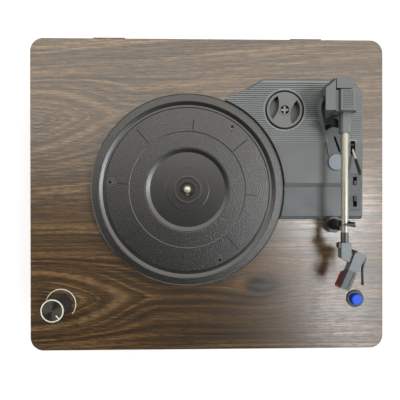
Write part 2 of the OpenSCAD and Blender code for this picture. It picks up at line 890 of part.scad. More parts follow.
module plinth_shell() difference() {
    cavity_h = plinth_h - plinth_skin;
    linear_extrude(plinth_h) plinth_plan();
    plinth_bevels();
    // Front ledge, with its slope
    bar([0, -far, ledge_h], [pad_x, ledge_y, 2 * plinth_h]);
    bar([pad_x - cut, -far, ledge_h], [far, pad_front, 2 * plinth_h]);
    bar([pad_right, pad_front - cut, ledge_h], [far, ledge_y, 2 * plinth_h]);
    ledge_ramp(0, pad_x);
    ledge_ramp(pad_right, far);
    edge_bevel([front_left_x, plinth_front], [plinth_right, plinth_front], ledge_bevel, ledge_h);
    // Hollow underside
    translate([0, 0, -cut]) linear_extrude(cavity_h + cut) intersection() {
        plinth_plan(plinth_wall);
        translate([0, ledge_y + ledge_slope]) square(far);
    }
    translate([0, 0, -cut]) linear_extrude(ledge_h - plinth_skin + cut) plinth_plan(plinth_wall);
    bar([pad_x + pad_wall, pad_front + pad_wall, 0], [pad_right - pad_wall, ledge_y + pad_overlap, cavity_h]);
    translate([0, 0, plinth_h - rib_depth]) linear_extrude(plinth_h) ribs_plan();
}

module plinth_solids() {
    rim_r = deck_hole_r - pan_gap;
    plinth_shell();
    // Cup for the adapter
    translate(adapter_pos) cylinder(r = adapter_well_r + cup_wall, h = plinth_h);
    // Arm well with its raised lip
    linear_extrude(plinth_h) well_plan(well_wall);
    linear_extrude(plinth_h + lip_h) well_plan(lip_w);
    // Rest lobe, pan under the platter and the spindle boss
    translate([lobe_x, rest_y, 0]) cylinder(r = lobe_r, h = ledge_h);
    cylinder(r = pan_r, h = pan_t);
    bar([front_left_x, plinth_front + plinth_wall, 0], [pan_bridge_to[0], pan_bridge_to[1], pan_t]);
    translate([0, 0, -pan_drop]) ring(rim_r, rim_r - pan_rim, pan_drop + pan_t / 2);
    translate([0, 0, -pan_drop]) cylinder(r = boss_r, h = pan_drop + boss_top);
    // Ears of the cue lever
    for (x = [-1, 1]) translate([cue_pivot[0] + x * (cue_slot_w + cue_ear_t) / 2, cue_pivot[1], 0])
        translate([-cue_ear_t / 2, -cue_ear_len / 2, 0])
            cube([cue_ear_t, cue_ear_len, plinth_h - plinth_skin + cut]);
}

module plinth() color(grey) at_spindle() {
    floor_z = well_floor - well_floor_t;
    difference() {
        plinth_solids();
        translate(adapter_pos) translate([0, 0, adapter_floor]) {
            ring(adapter_well_r, post_hub_r - slip, plinth_h);
            for (angle = [0 : 90 : 270]) rotate(angle)
                translate([post_bar / 2, post_bar / 2, 0]) cube([post_hub_r, post_hub_r, plinth_h]);
        }
        translate([0, 0, well_floor]) linear_extrude(plinth_h) well_plan(0);
        translate([0, 0, -cut]) linear_extrude(floor_z + cut) well_plan(0);
        translate([pivot_x + well_slot_from[0], pivot_y + well_slot_from[1], 0]) rotate(well_slot_turn)
            linear_extrude(plinth_h) taper_plan(well_slot_r, well_slot_r, well_slot_len);
        translate([pivot_x, pivot_y, 0]) cylinder(r = bearing_r, h = plinth_h);
        platform_post_place() cylinder(r = platform_post_r + slip, h = plinth_h);
        // Cue lever slot and its trunnion holes
        bar([cue_pivot[0] - cue_slot_w / 2, cue_slot[0], -cut],
            [cue_pivot[0] + cue_slot_w / 2, cue_slot[1], 2 * plinth_h]);
        translate(cue_pivot - [cue_width, 0, 0]) rotate([0, 90, 0])
            cylinder(r = cue_trunnion_r + running, h = 2 * cue_width);
        // Switch plate recess and the slots under it
        switch_plate_block(inset_gap);
        switch_slot(auto_stop_slot);
        switch_slot(speed_slot);
        // Rest post socket, spindle bore, motor shaft hole and screw holes
        translate([lobe_x, rest_y, rest_floor]) cylinder(r = rest_post_r, h = plinth_h);
        translate([0, 0, -pan_drop - cut]) cylinder(r = spindle_r, h = pan_drop + boss_top + 2 * cut);
        rotate(motor_angle) translate([motor_reach, 0, -cut])
            cylinder(r = pulley_r + pulley_gap, h = pan_t + 2 * cut);
        for (angle = pan_screw_angles) rotate(angle) translate([(deck_hole_r + pan_r) / 2, 0, -cut])
            cylinder(r = screw_r, h = pan_t - pan_screw_skin + cut);
    }
    translate([pad_disc[0], pad_disc[1], floor_z])
        cylinder(r = pad_disc_r, h = plinth_h + pad_disc_h - floor_z);
}

module plinth_screw_places() {
    at_spindle() for (angle = pan_screw_angles) rotate(angle)
        translate([(deck_hole_r + pan_r) / 2, 0, -deck_t - screw_head_h]) children();
}

module plinth_screws() color(metal) plinth_screw_places() screw(deck_t + pan_t - pan_screw_skin - tip_gap);

module switch_plate_block(gap) {
    bar([switch_plate_from[0] - gap, switch_plate_from[1] - gap, switch_plate_z],
        [switch_plate_to[0] + gap, switch_plate_to[1] + gap, switch_plate_z + switch_plate_t + gap]);
}

module switch_slot(span) {
    bar([switch_x - slot_w / 2, span[0], -cut], [switch_x + slot_w / 2, span[1], 2 * plinth_h]);
}

module switch_plate() color(dark_grey) at_spindle() difference() {
    switch_plate_block(0);
    switch_slot(auto_stop_slot);
    switch_slot(speed_slot);
}

module slide_switch(span) {
    top = plinth_h - plinth_skin;
    difference() {
        bar([switch_x - switch_w / 2, span[0] - switch_margin, inset_gap],
            [switch_x + switch_w / 2, span[1] + switch_margin, top]);
        bar([switch_x - slot_w / 2, span[0], slider_z - slip], [switch_x + slot_w / 2, span[1], top + cut]);
    }
}

module slide_switches() color(metal) at_spindle() {
    slide_switch(auto_stop_slot);
    slide_switch(speed_slot);
}

module slider(y, len) {
    color(black) at_spindle() difference() {
        bar([switch_x - slider_w / 2, y, slider_z], [switch_x + slider_w / 2, y + len, slider_top]);
        for (i = [1 : 3]) translate([switch_x - slider_w, y + (i * len - slider_groove) / 4, slider_top])
            translate([0, -slider_groove / 4, -slider_groove])
                cube([2 * slider_w, slider_groove, 2 * slider_groove]);
    }
}

module auto_stop_slider() slider(auto_stop_slot[0] + slip, auto_stop_len);
module speed_slider() slider(speed_slot[1] - slip - speed_len, speed_len);

// Drive
module spindle() color("goldenrod") at_spindle() rotate_extrude() {
    neck_r = spindle_r - clip_groove;
    low = bush_top + slip - clip_play;
    high = bush_top + slip + clip_t + clip_play;
    polygon([[0, -pan_drop], [spindle_r, -pan_drop], [spindle_r, low], [neck_r, low], [neck_r, high],
        [spindle_r, high], [spindle_r, spindle_top - spindle_dome],
        [spindle_r * cos(35), spindle_top - spindle_dome * (1 - sin(35))],
        [spindle_r * cos(63), spindle_top - spindle_dome * (1 - sin(63))], [0, spindle_top]]);
}

module platter_clip() color(metal) at_spindle() translate([0, 0, bush_top + slip]) difference() {
    ring(clip_r, spindle_r - clip_groove, clip_t);
    translate([-clip_mouth / 2, -2 * clip_r, -cut]) cube([clip_mouth, 2 * clip_r, clip_t + 2 * cut]);
}

module platter_profile() {
    ring_z = recess_z + hub_ring_h;
    polygon(concat([[bush_r, bush_top], [hub_recess_r, bush_top], [hub_recess_r, recess_z],
        [hub_ring[0], recess_z], [hub_ring[0] + hub_ring_h, ring_z], [hub_ring[1] - hub_ring_h, ring_z],
        [hub_ring[1], recess_z], [line_r, recess_z], [line_r, recess_z - line_depth],
        [line_r + line_w, recess_z - line_depth], [line_r + line_w, recess_z], [recess_r, recess_z],
        [recess_r + recess_slope, disc_z - step_drop], [step_r, disc_z - step_drop],
        [step_r + step_w, disc_z]],
        [for (p = rim_profile) [platter_r - p[0], disc_z + p[1]]],
        [[platter_r, skirt_z], [platter_r - skirt_w, skirt_z], [platter_r - skirt_w, platter_under],
        [track_r, platter_under], [track_r, hub_bottom], [track_r - track_w, hub_bottom],
        [track_r - track_w, platter_under], [hub_r, platter_under], [hub_r, hub_bottom],
        [bush_r, hub_bottom]]));
}

module eyelet_places() {
    for (i = [0 : 2]) rotate(eyelet_turn + 120 * i)
        translate([platter_r - eyelet_inset, 0, platter_under]) children();
}

module platter() color(dark_grey) at_spindle() difference() {
    union() {
        rotate_extrude() platter_profile();
        eyelet_places() translate([0, 0, cut]) cylinder(r = eyelet_r, h = platter_web + eyelet_h - cut);
    }
    eyelet_places() translate([eyelet_hole_out, 0, -cut]) cylinder(r = eyelet_hole_r, h = platter_web + 2);
    eyelet_places() translate([0, 0, platter_web - eyelet_ring_drop])
        ring(eyelet_ring[0], eyelet_ring[1], eyelet_ring_drop + 1);
    for (i = [0 : 7]) rotate(mark_turn + 45 * i) translate([mark_r, -mark_w / 2, disc_z - mark_depth])
        cube([i % 2 == 1 ? mark_long : mark_short, mark_w, 1]);
}

module platter_bush() color("goldenrod") at_spindle() translate([0, 0, hub_bottom])
    ring(bush_r, spindle_r + running, bush_top - hub_bottom);

module belt_ring(r) difference() {
    circle(r + slip + belt_t);
    circle(r + slip);
}

// The runs between the track and the pulley are a little thinner than the rings they run into
module belt_plan() {
    lean = asin((track_r - pulley_r) / motor_reach);
    run_w = belt_t - 2 * belt_thin;
    run_len = motor_reach * cos(lean) + 2 * belt_overlap;
    difference() {
        belt_ring(track_r);
        wedge(180 + lean, 360 - lean, far);
    }
    translate([0, -motor_reach]) intersection() {
        belt_ring(pulley_r);
        wedge(180 + lean, 360 - lean, far);
    }
    rotate(-lean) translate([track_r + slip + belt_thin, belt_overlap - run_len]) square([run_w, run_len]);
    rotate(lean)
        translate([-track_r - slip - belt_thin - run_w, belt_overlap - run_len]) square([run_w, run_len]);
}

module drive_belt() color(black) at_spindle() translate([0, 0, belt_z]) rotate(motor_angle + 90)
    linear_extrude(belt_h) belt_plan();

module motor() color(metal) at_motor() translate([0, 0, -motor_gap]) difference() {
    union() {
        translate([0, 0, -motor_h]) cylinder(r = motor_r, h = motor_h);
        for (angle = [0 : 120 : 240]) rotate(angle) translate([motor_r - motor_boss_inset, 0, 0])
            cylinder(r = motor_boss_r, h = motor_gap);
    }
    translate([0, 0, -motor_bore]) cylinder(r = motor_shaft_r + running, h = motor_bore + cut);
}

module motor_shaft() color(metal) at_motor() translate([0, 0, slip - motor_gap - motor_bore])
    cylinder(r = motor_shaft_r, h = motor_gap + motor_bore + belt_z + belt_h);

module motor_pulley() color("goldenrod") at_motor() translate([0, 0, pulley_bottom]) difference() {
    union() {
        cylinder(r = pulley_r + slip, h = pulley_flange);
        cylinder(r = pulley_r, h = belt_h + 2 * slip + pulley_flange);
    }
    translate([0, 0, -cut]) cylinder(r = motor_shaft_r, h = belt_h + 2 * pulley_flange + 2 * cut);
}

module adapter_45() color([0.53, 0.54, 0.54])
    at_spindle() translate(adapter_pos) translate([0, 0, adapter_floor + slip]) difference() {
        union() {
            cylinder(r = adapter_r, h = adapter_h);
            cylinder(r = adapter_hub_r, h = adapter_h + adapter_hub_h);
        }
        translate([0, 0, -cut]) cylinder(r = post_hub_r + slip, h = adapter_h + 2 * cut + adapter_hub_h);
        translate([0, 0, -cut]) linear_extrude(adapter_h + 2 * cut) for (side = [0, 180]) intersection() {
            circle(adapter_window_r);
            rotate(side) translate(adapter_lens) circle(adapter_lens_r, $fn = 128);
        }
    }

// Tone arm
module arm_bearing() color(metal) at_pivot() translate([0, 0, -bearing_drop])
    ring(bearing_r, arm_shaft_r + running, bearing_top + bearing_drop);

module left_cheek() intersection() {
    translate([0, cheek_corner, 0]) rotate([90, 0, 0]) linear_extrude(cheek_corner + cheek_front)
        polygon(cheek_profile);
    linear_extrude(cheek_top + cut) polygon([[-cheek_out - cut, -cheek_out], [0, -cheek_out],
        [0, cheek_back + cheek_slope * cheek_out], [-cheek_out - cut, cheek_back - cheek_slope * cut]]);
}

module arm_yoke() color(grey) at_pivot() difference() {
    union() {
        translate([0, 0, -shaft_drop]) cylinder(r = arm_shaft_r, h = shaft_drop + yoke_z + cut);
        translate([0, 0, yoke_z]) linear_extrude(yoke_plate_t) polygon([[-leg_out, -cheek_front],
            [right_cheek_out, -cheek_front], [right_cheek_out, block_back], [bridge_right, bridge_back],
            [-cheek_in, bridge_back], [-leg_out, cheek_back]]);
        left_cheek();
        bar([-cheek_in - cut, bridge_front, yoke_z], [bridge_right, bridge_back, bridge_top]);
        bar([right_cheek_in, -cheek_front, yoke_z], [right_cheek_out, block_back, right_cheek_top]);
    }
    translate([-cheek_in - pin_bite, 0, arm_z]) rotate([0, 90, 0]) cylinder(r = pivot_pin_r, h = far);
    // A gap parts the cheek from the bridge
    bar([-cheek_in, bridge_front - cut, bridge_top - bridge_gap_depth],
        [bridge_gap - cheek_in, bridge_back + cut, bridge_top + cut]);
}

module arm_pivot_pins() color(metal) at_pivot() translate([0, 0, arm_z]) rotate([0, 90, 0]) {
    translate([0, 0, -cheek_in - pin_bite])
        cylinder(r = pivot_pin_r, h = cheek_in - block_left + 2 * pin_bite);
    translate([0, 0, block_right - pin_bite])
        cylinder(r = pivot_pin_r, h = right_cheek_out - block_right + pin_bite);
}

module block_ribs() {
    for (i = [0 : block_rib_count - 1])
        translate([block_rib_ends[0] - block_step, i * block_rib_pitch - block_front + block_rib_inset,
            block_top - block_rib_depth])
            cube([block_step + block_right - block_rib_ends[0] - block_rib_ends[1], block_rib_w, 1]);
}

module arm_block() color(grey) at_pivot() difference() {
    pin_hole = pin_bite + pin_end_gap;
    union() {
        bar([-block_left, -block_front, block_bottom], [block_right, block_back, block_top]);
        translate([0, cut - block_front, arm_z]) rotate([90, 0, 0])
            linear_extrude(root_len + cut) polygon(root_profile);
        translate([0, 0, arm_z - fin_t / 2]) linear_extrude(fin_t) polygon([[0, cut - block_front],
            [block_right, cut - block_front], [root_r + fin_w, -block_front - fin_set_back],
            [root_r - cut, fin_end - root_end], [0, fin_end - root_end]]);
    }
    translate([0, 0, arm_z]) rotate([0, 90, 0]) {
        translate([0, 0, -block_left - cut]) cylinder(r = pivot_pin_r + running, h = pin_hole + cut);
        translate([0, 0, block_right - pin_hole]) cylinder(r = pivot_pin_r + running, h = pin_hole + cut);
    }
    translate([0, root_socket - root_end, arm_z]) rotate([90, 0, 0]) cylinder(r = tube_r, h = root_len);
    translate([weight_x, block_back + cut, arm_z]) rotate([90, 0, 0])
        cylinder(r = weight_r, h = weight_depth + cut);
    block_ribs();
    bar([-block_left - cut, -far, block_top - block_shoulder], [-block_step, far, far]);
    edge_bevel([block_right, -block_front], [block_right, block_back], block_bevel, block_top);
}

module counterweight() color(metal) at_pivot() translate([weight_x, block_back - inset_gap, arm_z])
    rotate([90, 0, 0]) cylinder(r = weight_r, h = weight_depth - inset_gap);

module along_arm(from) at_pivot() translate([0, -from, arm_z]) rotate([90, 0, 0]) children();

module arm_tube() {
    start = root_end - root_socket;
    color([0.86, 0.85, 0.8]) along_arm(start) ring(tube_r, tube_r - tube_wall, tube_reach - start);
}

module tube_collar() color(black) along_arm(tube_reach - collar_len + collar_over) difference() {
    cylinder(r = collar_r, h = collar_len);
    translate([0, 0, -cut]) cylinder(r = tube_r, h = collar_len - collar_over + cut);
}

// The headshell's own frame: origin under the front edge, +Y back along the head
module at_head() at_pivot() translate(head_front) rotate(-head_angle) children();

module head_plan(inset = 0) {
    front = head_w / 2 - inset;
    rear = head_rear_w / 2 - inset;
    back = head_front_len + head_rear_len - inset;
    polygon([[-front, inset], [front, inset], [front, head_front_len], [rear, back], [-rear, back],
        [-front, head_front_len]]);
}

module headshell() color(grey) difference() {
    line_z = head_top - head_line_depth;
    union() {
        at_head() translate([0, 0, head_bottom]) linear_extrude(head_wall_h) head_plan();
        at_pivot() translate([0, neck_y, head_bottom + neck_lift]) linear_extrude(head_wall_h - neck_lift)
            polygon(neck_plan);
        at_pivot() translate([0, neck_y, head_bottom + 2 * neck_lift])
            linear_extrude(head_wall_h - web_drop - 2 * neck_lift) polygon(web_plan);
    }
    at_head() translate([0, 0, head_bottom - cut])
        linear_extrude(head_wall_h - head_skin + cut) intersection() {
            head_plan(head_skin);
            translate([-head_w, 0]) square([2 * head_w, head_front_len]);
        }
    at_head() translate([head_line_at[0], head_line_at[1], line_z])
        cube([head_line_w, head_front_len - head_line_at[1] - 1, 1]);
    at_head() translate([-head_w, head_front_len - head_seam_w / 2, line_z])
        cube([2 * head_w, head_seam_w, 1]);
}

module finger_lift() color(black)
    at_head() translate([head_rear_w / 2, head_front_len + head_rear_len, head_top - lift_drop - lift_h])
        rotate(head_angle) {
            linear_extrude(lift_h) polygon(lift_plan);
            translate(lift_tip) translate([0, 0, lift_h / 2]) sphere(r = lift_tip_r);
        }

module cartridge() color(black) at_head() translate([0, 0, cartridge_z])
    linear_extrude(head_top - head_skin - inset_gap - cartridge_z) intersection() {
        head_plan(head_skin + inset_gap);
        translate([-head_w, cartridge_front])
            square([2 * head_w, head_front_len - cartridge_front - cartridge_back]);
    }

module stylus_holder() color([0.75, 0.1, 0.07]) at_head() translate([0, 0, holder_z]) difference() {
    linear_extrude(holder_h) {
        translate([-holder_w / 2, cartridge_front])
            square([holder_w, head_front_len - cartridge_front - holder_back]);
        translate([0, cartridge_front]) circle(r = holder_w / 2);
    }
    translate([-needle_channel_w / 2, -holder_w, -cut])
        cube([needle_channel_w, holder_w + needle_root_y, holder_h / 2 + cut]);
}

module stylus_needle() color(metal) at_head() translate([0, 0, stylus_z]) {
    translate([-needle_w / 2, needle_front, needle_lift]) cube([needle_w, needle_len, needle_w]);
    translate([0, tip_y, 0]) cylinder(r1 = tip_radii[0], r2 = tip_radii[1], h = needle_lift + needle_w / 2);
    translate([-needle_root[0] / 2, needle_root_y, needle_lift])
        cube([needle_root[0], needle_root[1], holder_z + holder_h / 2 - stylus_z - needle_lift]);
}

// Arm rest and cueing
module at_rest() at_spindle() translate([pivot_x, rest_y + rest_lean, 0]) children();

module arm_rest() color(black) at_rest() difference() {
    union() {
        translate([lobe_shift, -rest_lean, rest_floor])
            cylinder(r = rest_post_r, h = saddle_z - rest_post_top - rest_floor);
        bar([-rest_left, -rest_w / 2, saddle_z - rest_arm_h], [clip_x + clip_hub_r, rest_w / 2, saddle_z]);
        bar([clip_x - clip_hub_r, -clip_post_w / 2, saddle_z - cut],
            [clip_x + clip_hub_r, clip_post_w / 2, clip_z]);
        translate([clip_x, clip_post_w / 2, clip_z]) rotate([90, 0, 0])
            cylinder(r = clip_hub_r, h = clip_post_w);
    }
    translate([clip_x - 2 * clip_hub_r, -clip_strap_w / 2 - slip, clip_z - clip_hub_r - slip])
        cube([5 * clip_hub_r, clip_strap_w + 2 * slip, far]);
    translate([clip_x, rest_w, clip_z]) rotate([90, 0, 0])
        cylinder(r = clip_pin_r + running, h = 2 * rest_w);
    translate([-rest_left - cut, -rest_w, saddle_z - rest_bevel_drop]) rotate([0, -rest_bevel, 0])
        cube([rest_left / 2, 2 * rest_w, rest_arm_h]);
}

module arm_clip() color(dark_grey) at_rest() translate([clip_x, 0, clip_z]) rotate([90, 0, 0]) {
    translate([0, 0, -clip_strap_w / 2]) linear_extrude(clip_strap_w) {
        circle(clip_hub_r - slip);
        polygon(strap_plan);
    }
    translate([0, 0, clip_pin_inset - clip_post_w / 2])
        cylinder(r = clip_pin_r, h = clip_post_w - 2 * clip_pin_inset);
}

module platform_post_place() {
    translate([pivot_x, pivot_y, 0]) rotate(platform_post)
        translate([(platform_in + platform_out) / 2, 0, 0]) children();
}

module cue_platform() color(dark_grey) at_spindle() {
    translate([pivot_x, pivot_y, platform_z - platform_t]) linear_extrude(platform_t) intersection() {
        difference() {
            circle(platform_out);
            circle(platform_in);
        }
        wedge(platform_span[0], platform_span[1], far);
    }
    platform_post_place() translate([0, 0, platform_foot])
        cylinder(r = platform_post_r, h = platform_z - platform_foot - cut);
}

module along_lever(from) at_spindle() translate(cue_pivot) rotate([-cue_angle, 0, 0])
    translate([0, -from, 0]) rotate([90, 0, 0]) children();

module cue_rod() color(metal) {
    at_spindle() translate(cue_pivot) rotate([0, 90, 0]) {
        translate([0, 0, -cue_hub_w / 2]) cylinder(r = cue_hub_r, h = cue_hub_w);
        translate([0, 0, -cue_width / 2]) cylinder(r = cue_trunnion_r, h = cue_width);
    }
    along_lever(0) cylinder(r = cue_rod_r, h = cue_reach - cue_rod_bite);
}

module cue_grip() color(black) along_lever(cue_reach - cue_grip_len) difference() {
    straight = cue_grip_len - cue_grip_end;
    union() {
        cylinder(r1 = cue_grip_r - cue_grip_taper[0], r2 = cue_grip_r, h = straight);
        translate([0, 0, straight])
            cylinder(r1 = cue_grip_r, r2 = cue_grip_r - cue_grip_taper[1], h = cue_grip_end);
    }
    translate([0, 0, -cut]) cylinder(r = cue_rod_r, h = cue_grip_len - cue_rod_bite + cut);
}

// Knob and button
module volume_pot() color(metal) at_knob() translate([0, 0, -deck_t]) difference() {
    union() {
        translate([-pot_w / 2, -pot_w / 2, -pot_h]) cube([pot_w, pot_w, pot_h]);
        translate([0, 0, -cut]) cylinder(r = pot_bush_r, h = deck_t + cut - pot_bush_drop);
    }
    translate([0, 0, -shaft_foot - slip]) cylinder(r = shaft_r + running, h = deck_t + shaft_foot + cut);
}

module volume_shaft() color(metal) at_knob() translate([0, 0, -deck_t - shaft_foot])
    cylinder(r = shaft_r, h = deck_t + shaft_foot + knob_bore_end);

module volume_knob() color(black) at_knob() difference() {
    shoulder = knob_h - knob_round[1];
    union() {
        translate([0, 0, knob_lift])
            cylinder(r1 = knob_r - knob_taper, r2 = knob_r, h = shoulder - knob_lift);
        translate([0, 0, shoulder])
            cylinder(r1 = knob_r, r2 = knob_r - knob_round[0], h = knob_round[1]);
    }
    translate([0, 0, knob_lift - cut]) cylinder(r = shaft_r, h = knob_bore_end - knob_lift + cut);
    translate([0, 0, knob_cap_z]) cylinder(r = knob_r - knob_edge, h = knob_cap_t);
}

module knob_cap() color(metal) at_knob() translate([0, 0, knob_cap_z]) difference() {
    cylinder(r = knob_r - knob_edge, h = knob_cap_t);
    rotate(pointer_turn)
        translate([knob_r - pointer_inset, -pointer[1] / 2, knob_cap_t - pointer_depth])
            cube([pointer[0], pointer[1], 1]);
}

module button_bezel() color(black) at_button() difference() {
    union() {
        cylinder(r1 = bezel_r, r2 = bezel_r - bezel_taper, h = bezel_h);
        translate([0, 0, -deck_t]) cylinder(r = bezel_sleeve_r, h = deck_t + cut);
    }
    translate([0, 0, -deck_t - cut]) cylinder(r = button_r + slip, h = deck_t + bezel_h + 2 * cut);
}

module button_cap() color([0.1, 0.35, 0.75]) at_button() {
    translate([0, 0, cap_bottom]) cylinder(r = button_r, h = button_h - cap_round - cap_bottom);
    translate([0, 0, button_h - cap_round])
        cylinder(r1 = button_r, r2 = button_r - cap_round, h = cap_round);
    translate([0, 0, -deck_t - stem_len]) cylinder(r = stem_r, h = deck_t + stem_len + cap_bottom + cut);
}

module button_switch() color(dark_grey) at_button() translate([0, 0, -deck_t]) difference() {
    well = stem_len + button_travel + cap_gap;
    translate([-switch_body / 2, -switch_body / 2, -switch_body_h])
        cube([switch_body, switch_body, switch_body_h]);
    translate([0, 0, -well]) cylinder(r = stem_r + slip, h = well + cut);
}

left_panel();
right_panel();
front_panel();
rear_panel();
top_deck();
base_panel();
corner_blocks();
rubber_feet();
base_screws();
left_grille();
right_grille();
left_speaker();
right_speaker();
hinge_sockets();
rear_screws();
jack_plate();
line_out_jacks();
power_inlet();
circuit_board();
board_posts();
plinth();
plinth_screws();
switch_plate();
slide_switches();
spindle();
platter_clip();
platter();
platter_bush();
drive_belt();
motor();
motor_shaft();
motor_pulley();
adapter_45();
arm_bearing();
arm_yoke();
arm_pivot_pins();
arm_block();
counterweight();
arm_tube();
tube_collar();
headshell();
finger_lift();
cartridge();
stylus_holder();
stylus_needle();
arm_rest();
arm_clip();
cue_platform();
cue_rod();
cue_grip();
auto_stop_slider();
speed_slider();
volume_pot();
volume_shaft();
volume_knob();
knob_cap();
button_bezel();
button_cap();
button_switch();
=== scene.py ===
"""Looks of the record player: materials, small trim, light, floor and the photograph's camera."""
import math
from collections import namedtuple

import bmesh
import bpy
from mathutils import Matrix, Vector


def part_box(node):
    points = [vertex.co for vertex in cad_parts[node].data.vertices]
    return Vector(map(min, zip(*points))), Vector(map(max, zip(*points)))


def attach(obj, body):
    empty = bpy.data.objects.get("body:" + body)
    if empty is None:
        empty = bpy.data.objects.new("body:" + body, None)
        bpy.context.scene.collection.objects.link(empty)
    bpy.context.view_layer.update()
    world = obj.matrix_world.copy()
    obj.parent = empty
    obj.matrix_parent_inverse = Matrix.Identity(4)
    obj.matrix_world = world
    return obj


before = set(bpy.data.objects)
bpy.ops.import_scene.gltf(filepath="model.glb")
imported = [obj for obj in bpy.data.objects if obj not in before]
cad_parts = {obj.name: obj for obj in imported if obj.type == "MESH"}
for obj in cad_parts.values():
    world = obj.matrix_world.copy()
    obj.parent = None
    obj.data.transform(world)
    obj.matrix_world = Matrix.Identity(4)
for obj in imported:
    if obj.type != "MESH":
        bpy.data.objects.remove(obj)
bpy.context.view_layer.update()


def srgb(red, green, blue):
    """A colour written as 0 to 255 values, as the linear colour that the nodes take."""
    def linear(value):
        part = value / 255
        return part / 12.92 if part <= 0.04045 else ((part + 0.055) / 1.055) ** 2.4
    return (linear(red), linear(green), linear(blue), 1.0)


def middle(node):
    """The middle of a CAD node's box."""
    low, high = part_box(node)
    return (low + high) / 2


def half_size(node):
    """Half the width, depth and height of a CAD node's box."""
    low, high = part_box(node)
    return (high - low) / 2


def top(node):
    """The height of a CAD node's highest point."""
    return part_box(node)[1].z


MM = 0.001
WHITE = (1.0, 1.0, 1.0, 1.0)

# The photograph's frame, and the camera that was fitted to it
FRAME_PX = 400
SENSOR_MM = 36
FOCAL_PX = 304.2
CAMERA_AT = (-0.0143, -0.0076, 0.4337)
CAMERA_TURN = (-0.0018, -0.0167, -0.0011)

# The plinth on the deck: the disc under the cue pad is its highest point, above the ribs and the ledge
DECK_Z = top("top_deck")
PAD_DISC_Z = top("plinth")
RIB_TOP = PAD_DISC_Z - 1.5 * MM
LEDGE_Z = RIB_TOP - 2.0 * MM
SPINDLE = middle("spindle").xy
RIB_FRONT = SPINDLE.y + 50.9 * MM
TUBE = middle("arm_tube")
CUE_PAD = TUBE.xy + Vector((2.0, 20.9)) * MM
REST_LOBE = middle("arm_rest").xy + Vector((0.5, 0.0)) * MM
REST_R = half_size("arm_rest").y
REST_BASE_RADII = (REST_R + 0.3 * MM, REST_R + 3.4 * MM)

# The head, measured from its neck at the collar's front: the way ahead, the seam across it and its trim
HEAD_TOP = top("headshell")
NECK = Vector((TUBE.x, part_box("tube_collar")[0].y, TUBE.z))
HEAD_AHEAD = Vector((-0.411, -0.912))
HEAD_SEAM = HEAD_AHEAD.dot(NECK.xy) + 23.11 * MM
HEAD_LATCH = (NECK + Vector((-7.4, -5.1, -2.5)) * MM, NECK + Vector((-4.0, -0.2, 2.4)) * MM)
HEAD_PIN = NECK.xy + Vector((9.7, -8.6)) * MM

# The platter: radii of its dark hub and of the low step round it, then radius and softness of the edges
# of the grained disc, of the ring of marks on it and of the grained rim
PLATTER_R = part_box("platter")[1].x - SPINDLE.x
DISC_Z = top("platter") - 1.6 * MM
HUB_R = 11.5 * MM
STEP_R = 22.5 * MM
DISC = ((PLATTER_R - 56.0 * MM, 0.5 * MM), (PLATTER_R - 15.5 * MM, 0.3 * MM))
MARKS = ((PLATTER_R - 39.0 * MM, 0.2 * MM), (PLATTER_R - 16.0 * MM, 0.2 * MM))
RIM = (PLATTER_R - 8.6 * MM, 0.4 * MM)
# Its leather grain: cells and fuzz per metre, and depth
LEATHER_CELLS = 860.0
LEATHER_FUZZ = 1200.0
LEATHER_DEPTH = 0.24 * MM

# Trim round the knob: radii of the printed arc, of the bright rim and of the pointer, and angles in degrees
KNOB = middle("volume_knob").xy
KNOB_TOP = top("knob_cap")
KNOB_R = half_size("volume_knob").x
ARC_RADII = (KNOB_R + 3.3 * MM, KNOB_R + 4.2 * MM)
ARC_ANGLES = (-41, 221)
KNOB_RIM_RADII = (KNOB_R - 1.8 * MM, KNOB_R - 0.6 * MM)
POINTER_RADII = (KNOB_R - 6.3 * MM, KNOB_R - 1.8 * MM)
POINTER_HALF = 0.6 * MM
POINTER_TURN = -50

# Grain of moulded plastic: depth, waves per metre and rounding of the edges; scale of its clouds
GRAIN_DEPTH = 0.01 * MM
GRAIN_SCALE = 2600.0
EDGE_R = 0.4 * MM
PLASTIC_CLOUD = 45.0

# Folded figures in the veneer: middle, tilt, half width and reach across the grain, then start, end and
# height of the rise along it
DECK_FOLDS = ((0.0955, 0.10, 0.004, 0.036, -0.200, -0.070, 0.030),
              (-0.113, 0.02, 0.005, 0.034, -0.190, -0.050, 0.032))
SIDE_FOLDS = ((0.050, 0.0, 0.005, 0.026, -0.140, 0.020, 0.022),)
# Pale outlines of a folded figure: distance across the rings, half width and strength
FOLD_OUTLINES = ((0.0300, 0.0028, 0.60), (0.0180, 0.0020, 0.25))
# Dark and pale spots of the deck at its knot, and a wide dark patch of painted shade on its front: place
# along and across the grain, half sizes and depth
DECK_SPOTS_AND_SHADE = ((0.060, -0.1005, 0.018, 0.009, 0.36), (0.035, -0.0975, 0.010, 0.009, -0.10),
              (0.025, -0.140, 0.110, 0.045, 0.115))
# Knots that the deck's grain runs round: place along and across the grain, half sizes and strength
DECK_KNOTS = ((0.056, -0.0985, 0.034, 0.022, 0.80),)
# Noise in the veneer: waves per metre along and across the grain, and octaves
BANDS = (2.5, 85.0, 2.0)
LINES = (4.0, 430.0, 2.0)
# Noise that bends the grain, with the width of the bends in metres
SWAYS = (((5.0, 14.0, 1.0), 0.008), ((22.0, 70.0, 2.0), 0.0012))
# Thin dark lines: noise, its value and softness at their edge, darkness and dullness
ThinLines = namedtuple("ThinLines", "waves place soft depth dull")
THREADS = ThinLines((7.0, 700.0, 1.0), 0.46, 0.04, 0.62, 0.5)
PORES = ThinLines((65.0, 820.0, 1.0), 0.45, 0.04, 0.52, 0.4)
TICKS = ThinLines((160.0, 900.0, 1.0), 0.435, 0.035, 0.34, 0.3)
VENEER_TONES = ((0.31, srgb(40, 28, 13)), (0.41, srgb(71, 53, 31)), (0.48, srgb(92, 69, 42)),
                (0.54, srgb(109, 83, 53)), (0.61, srgb(136, 107, 73)))
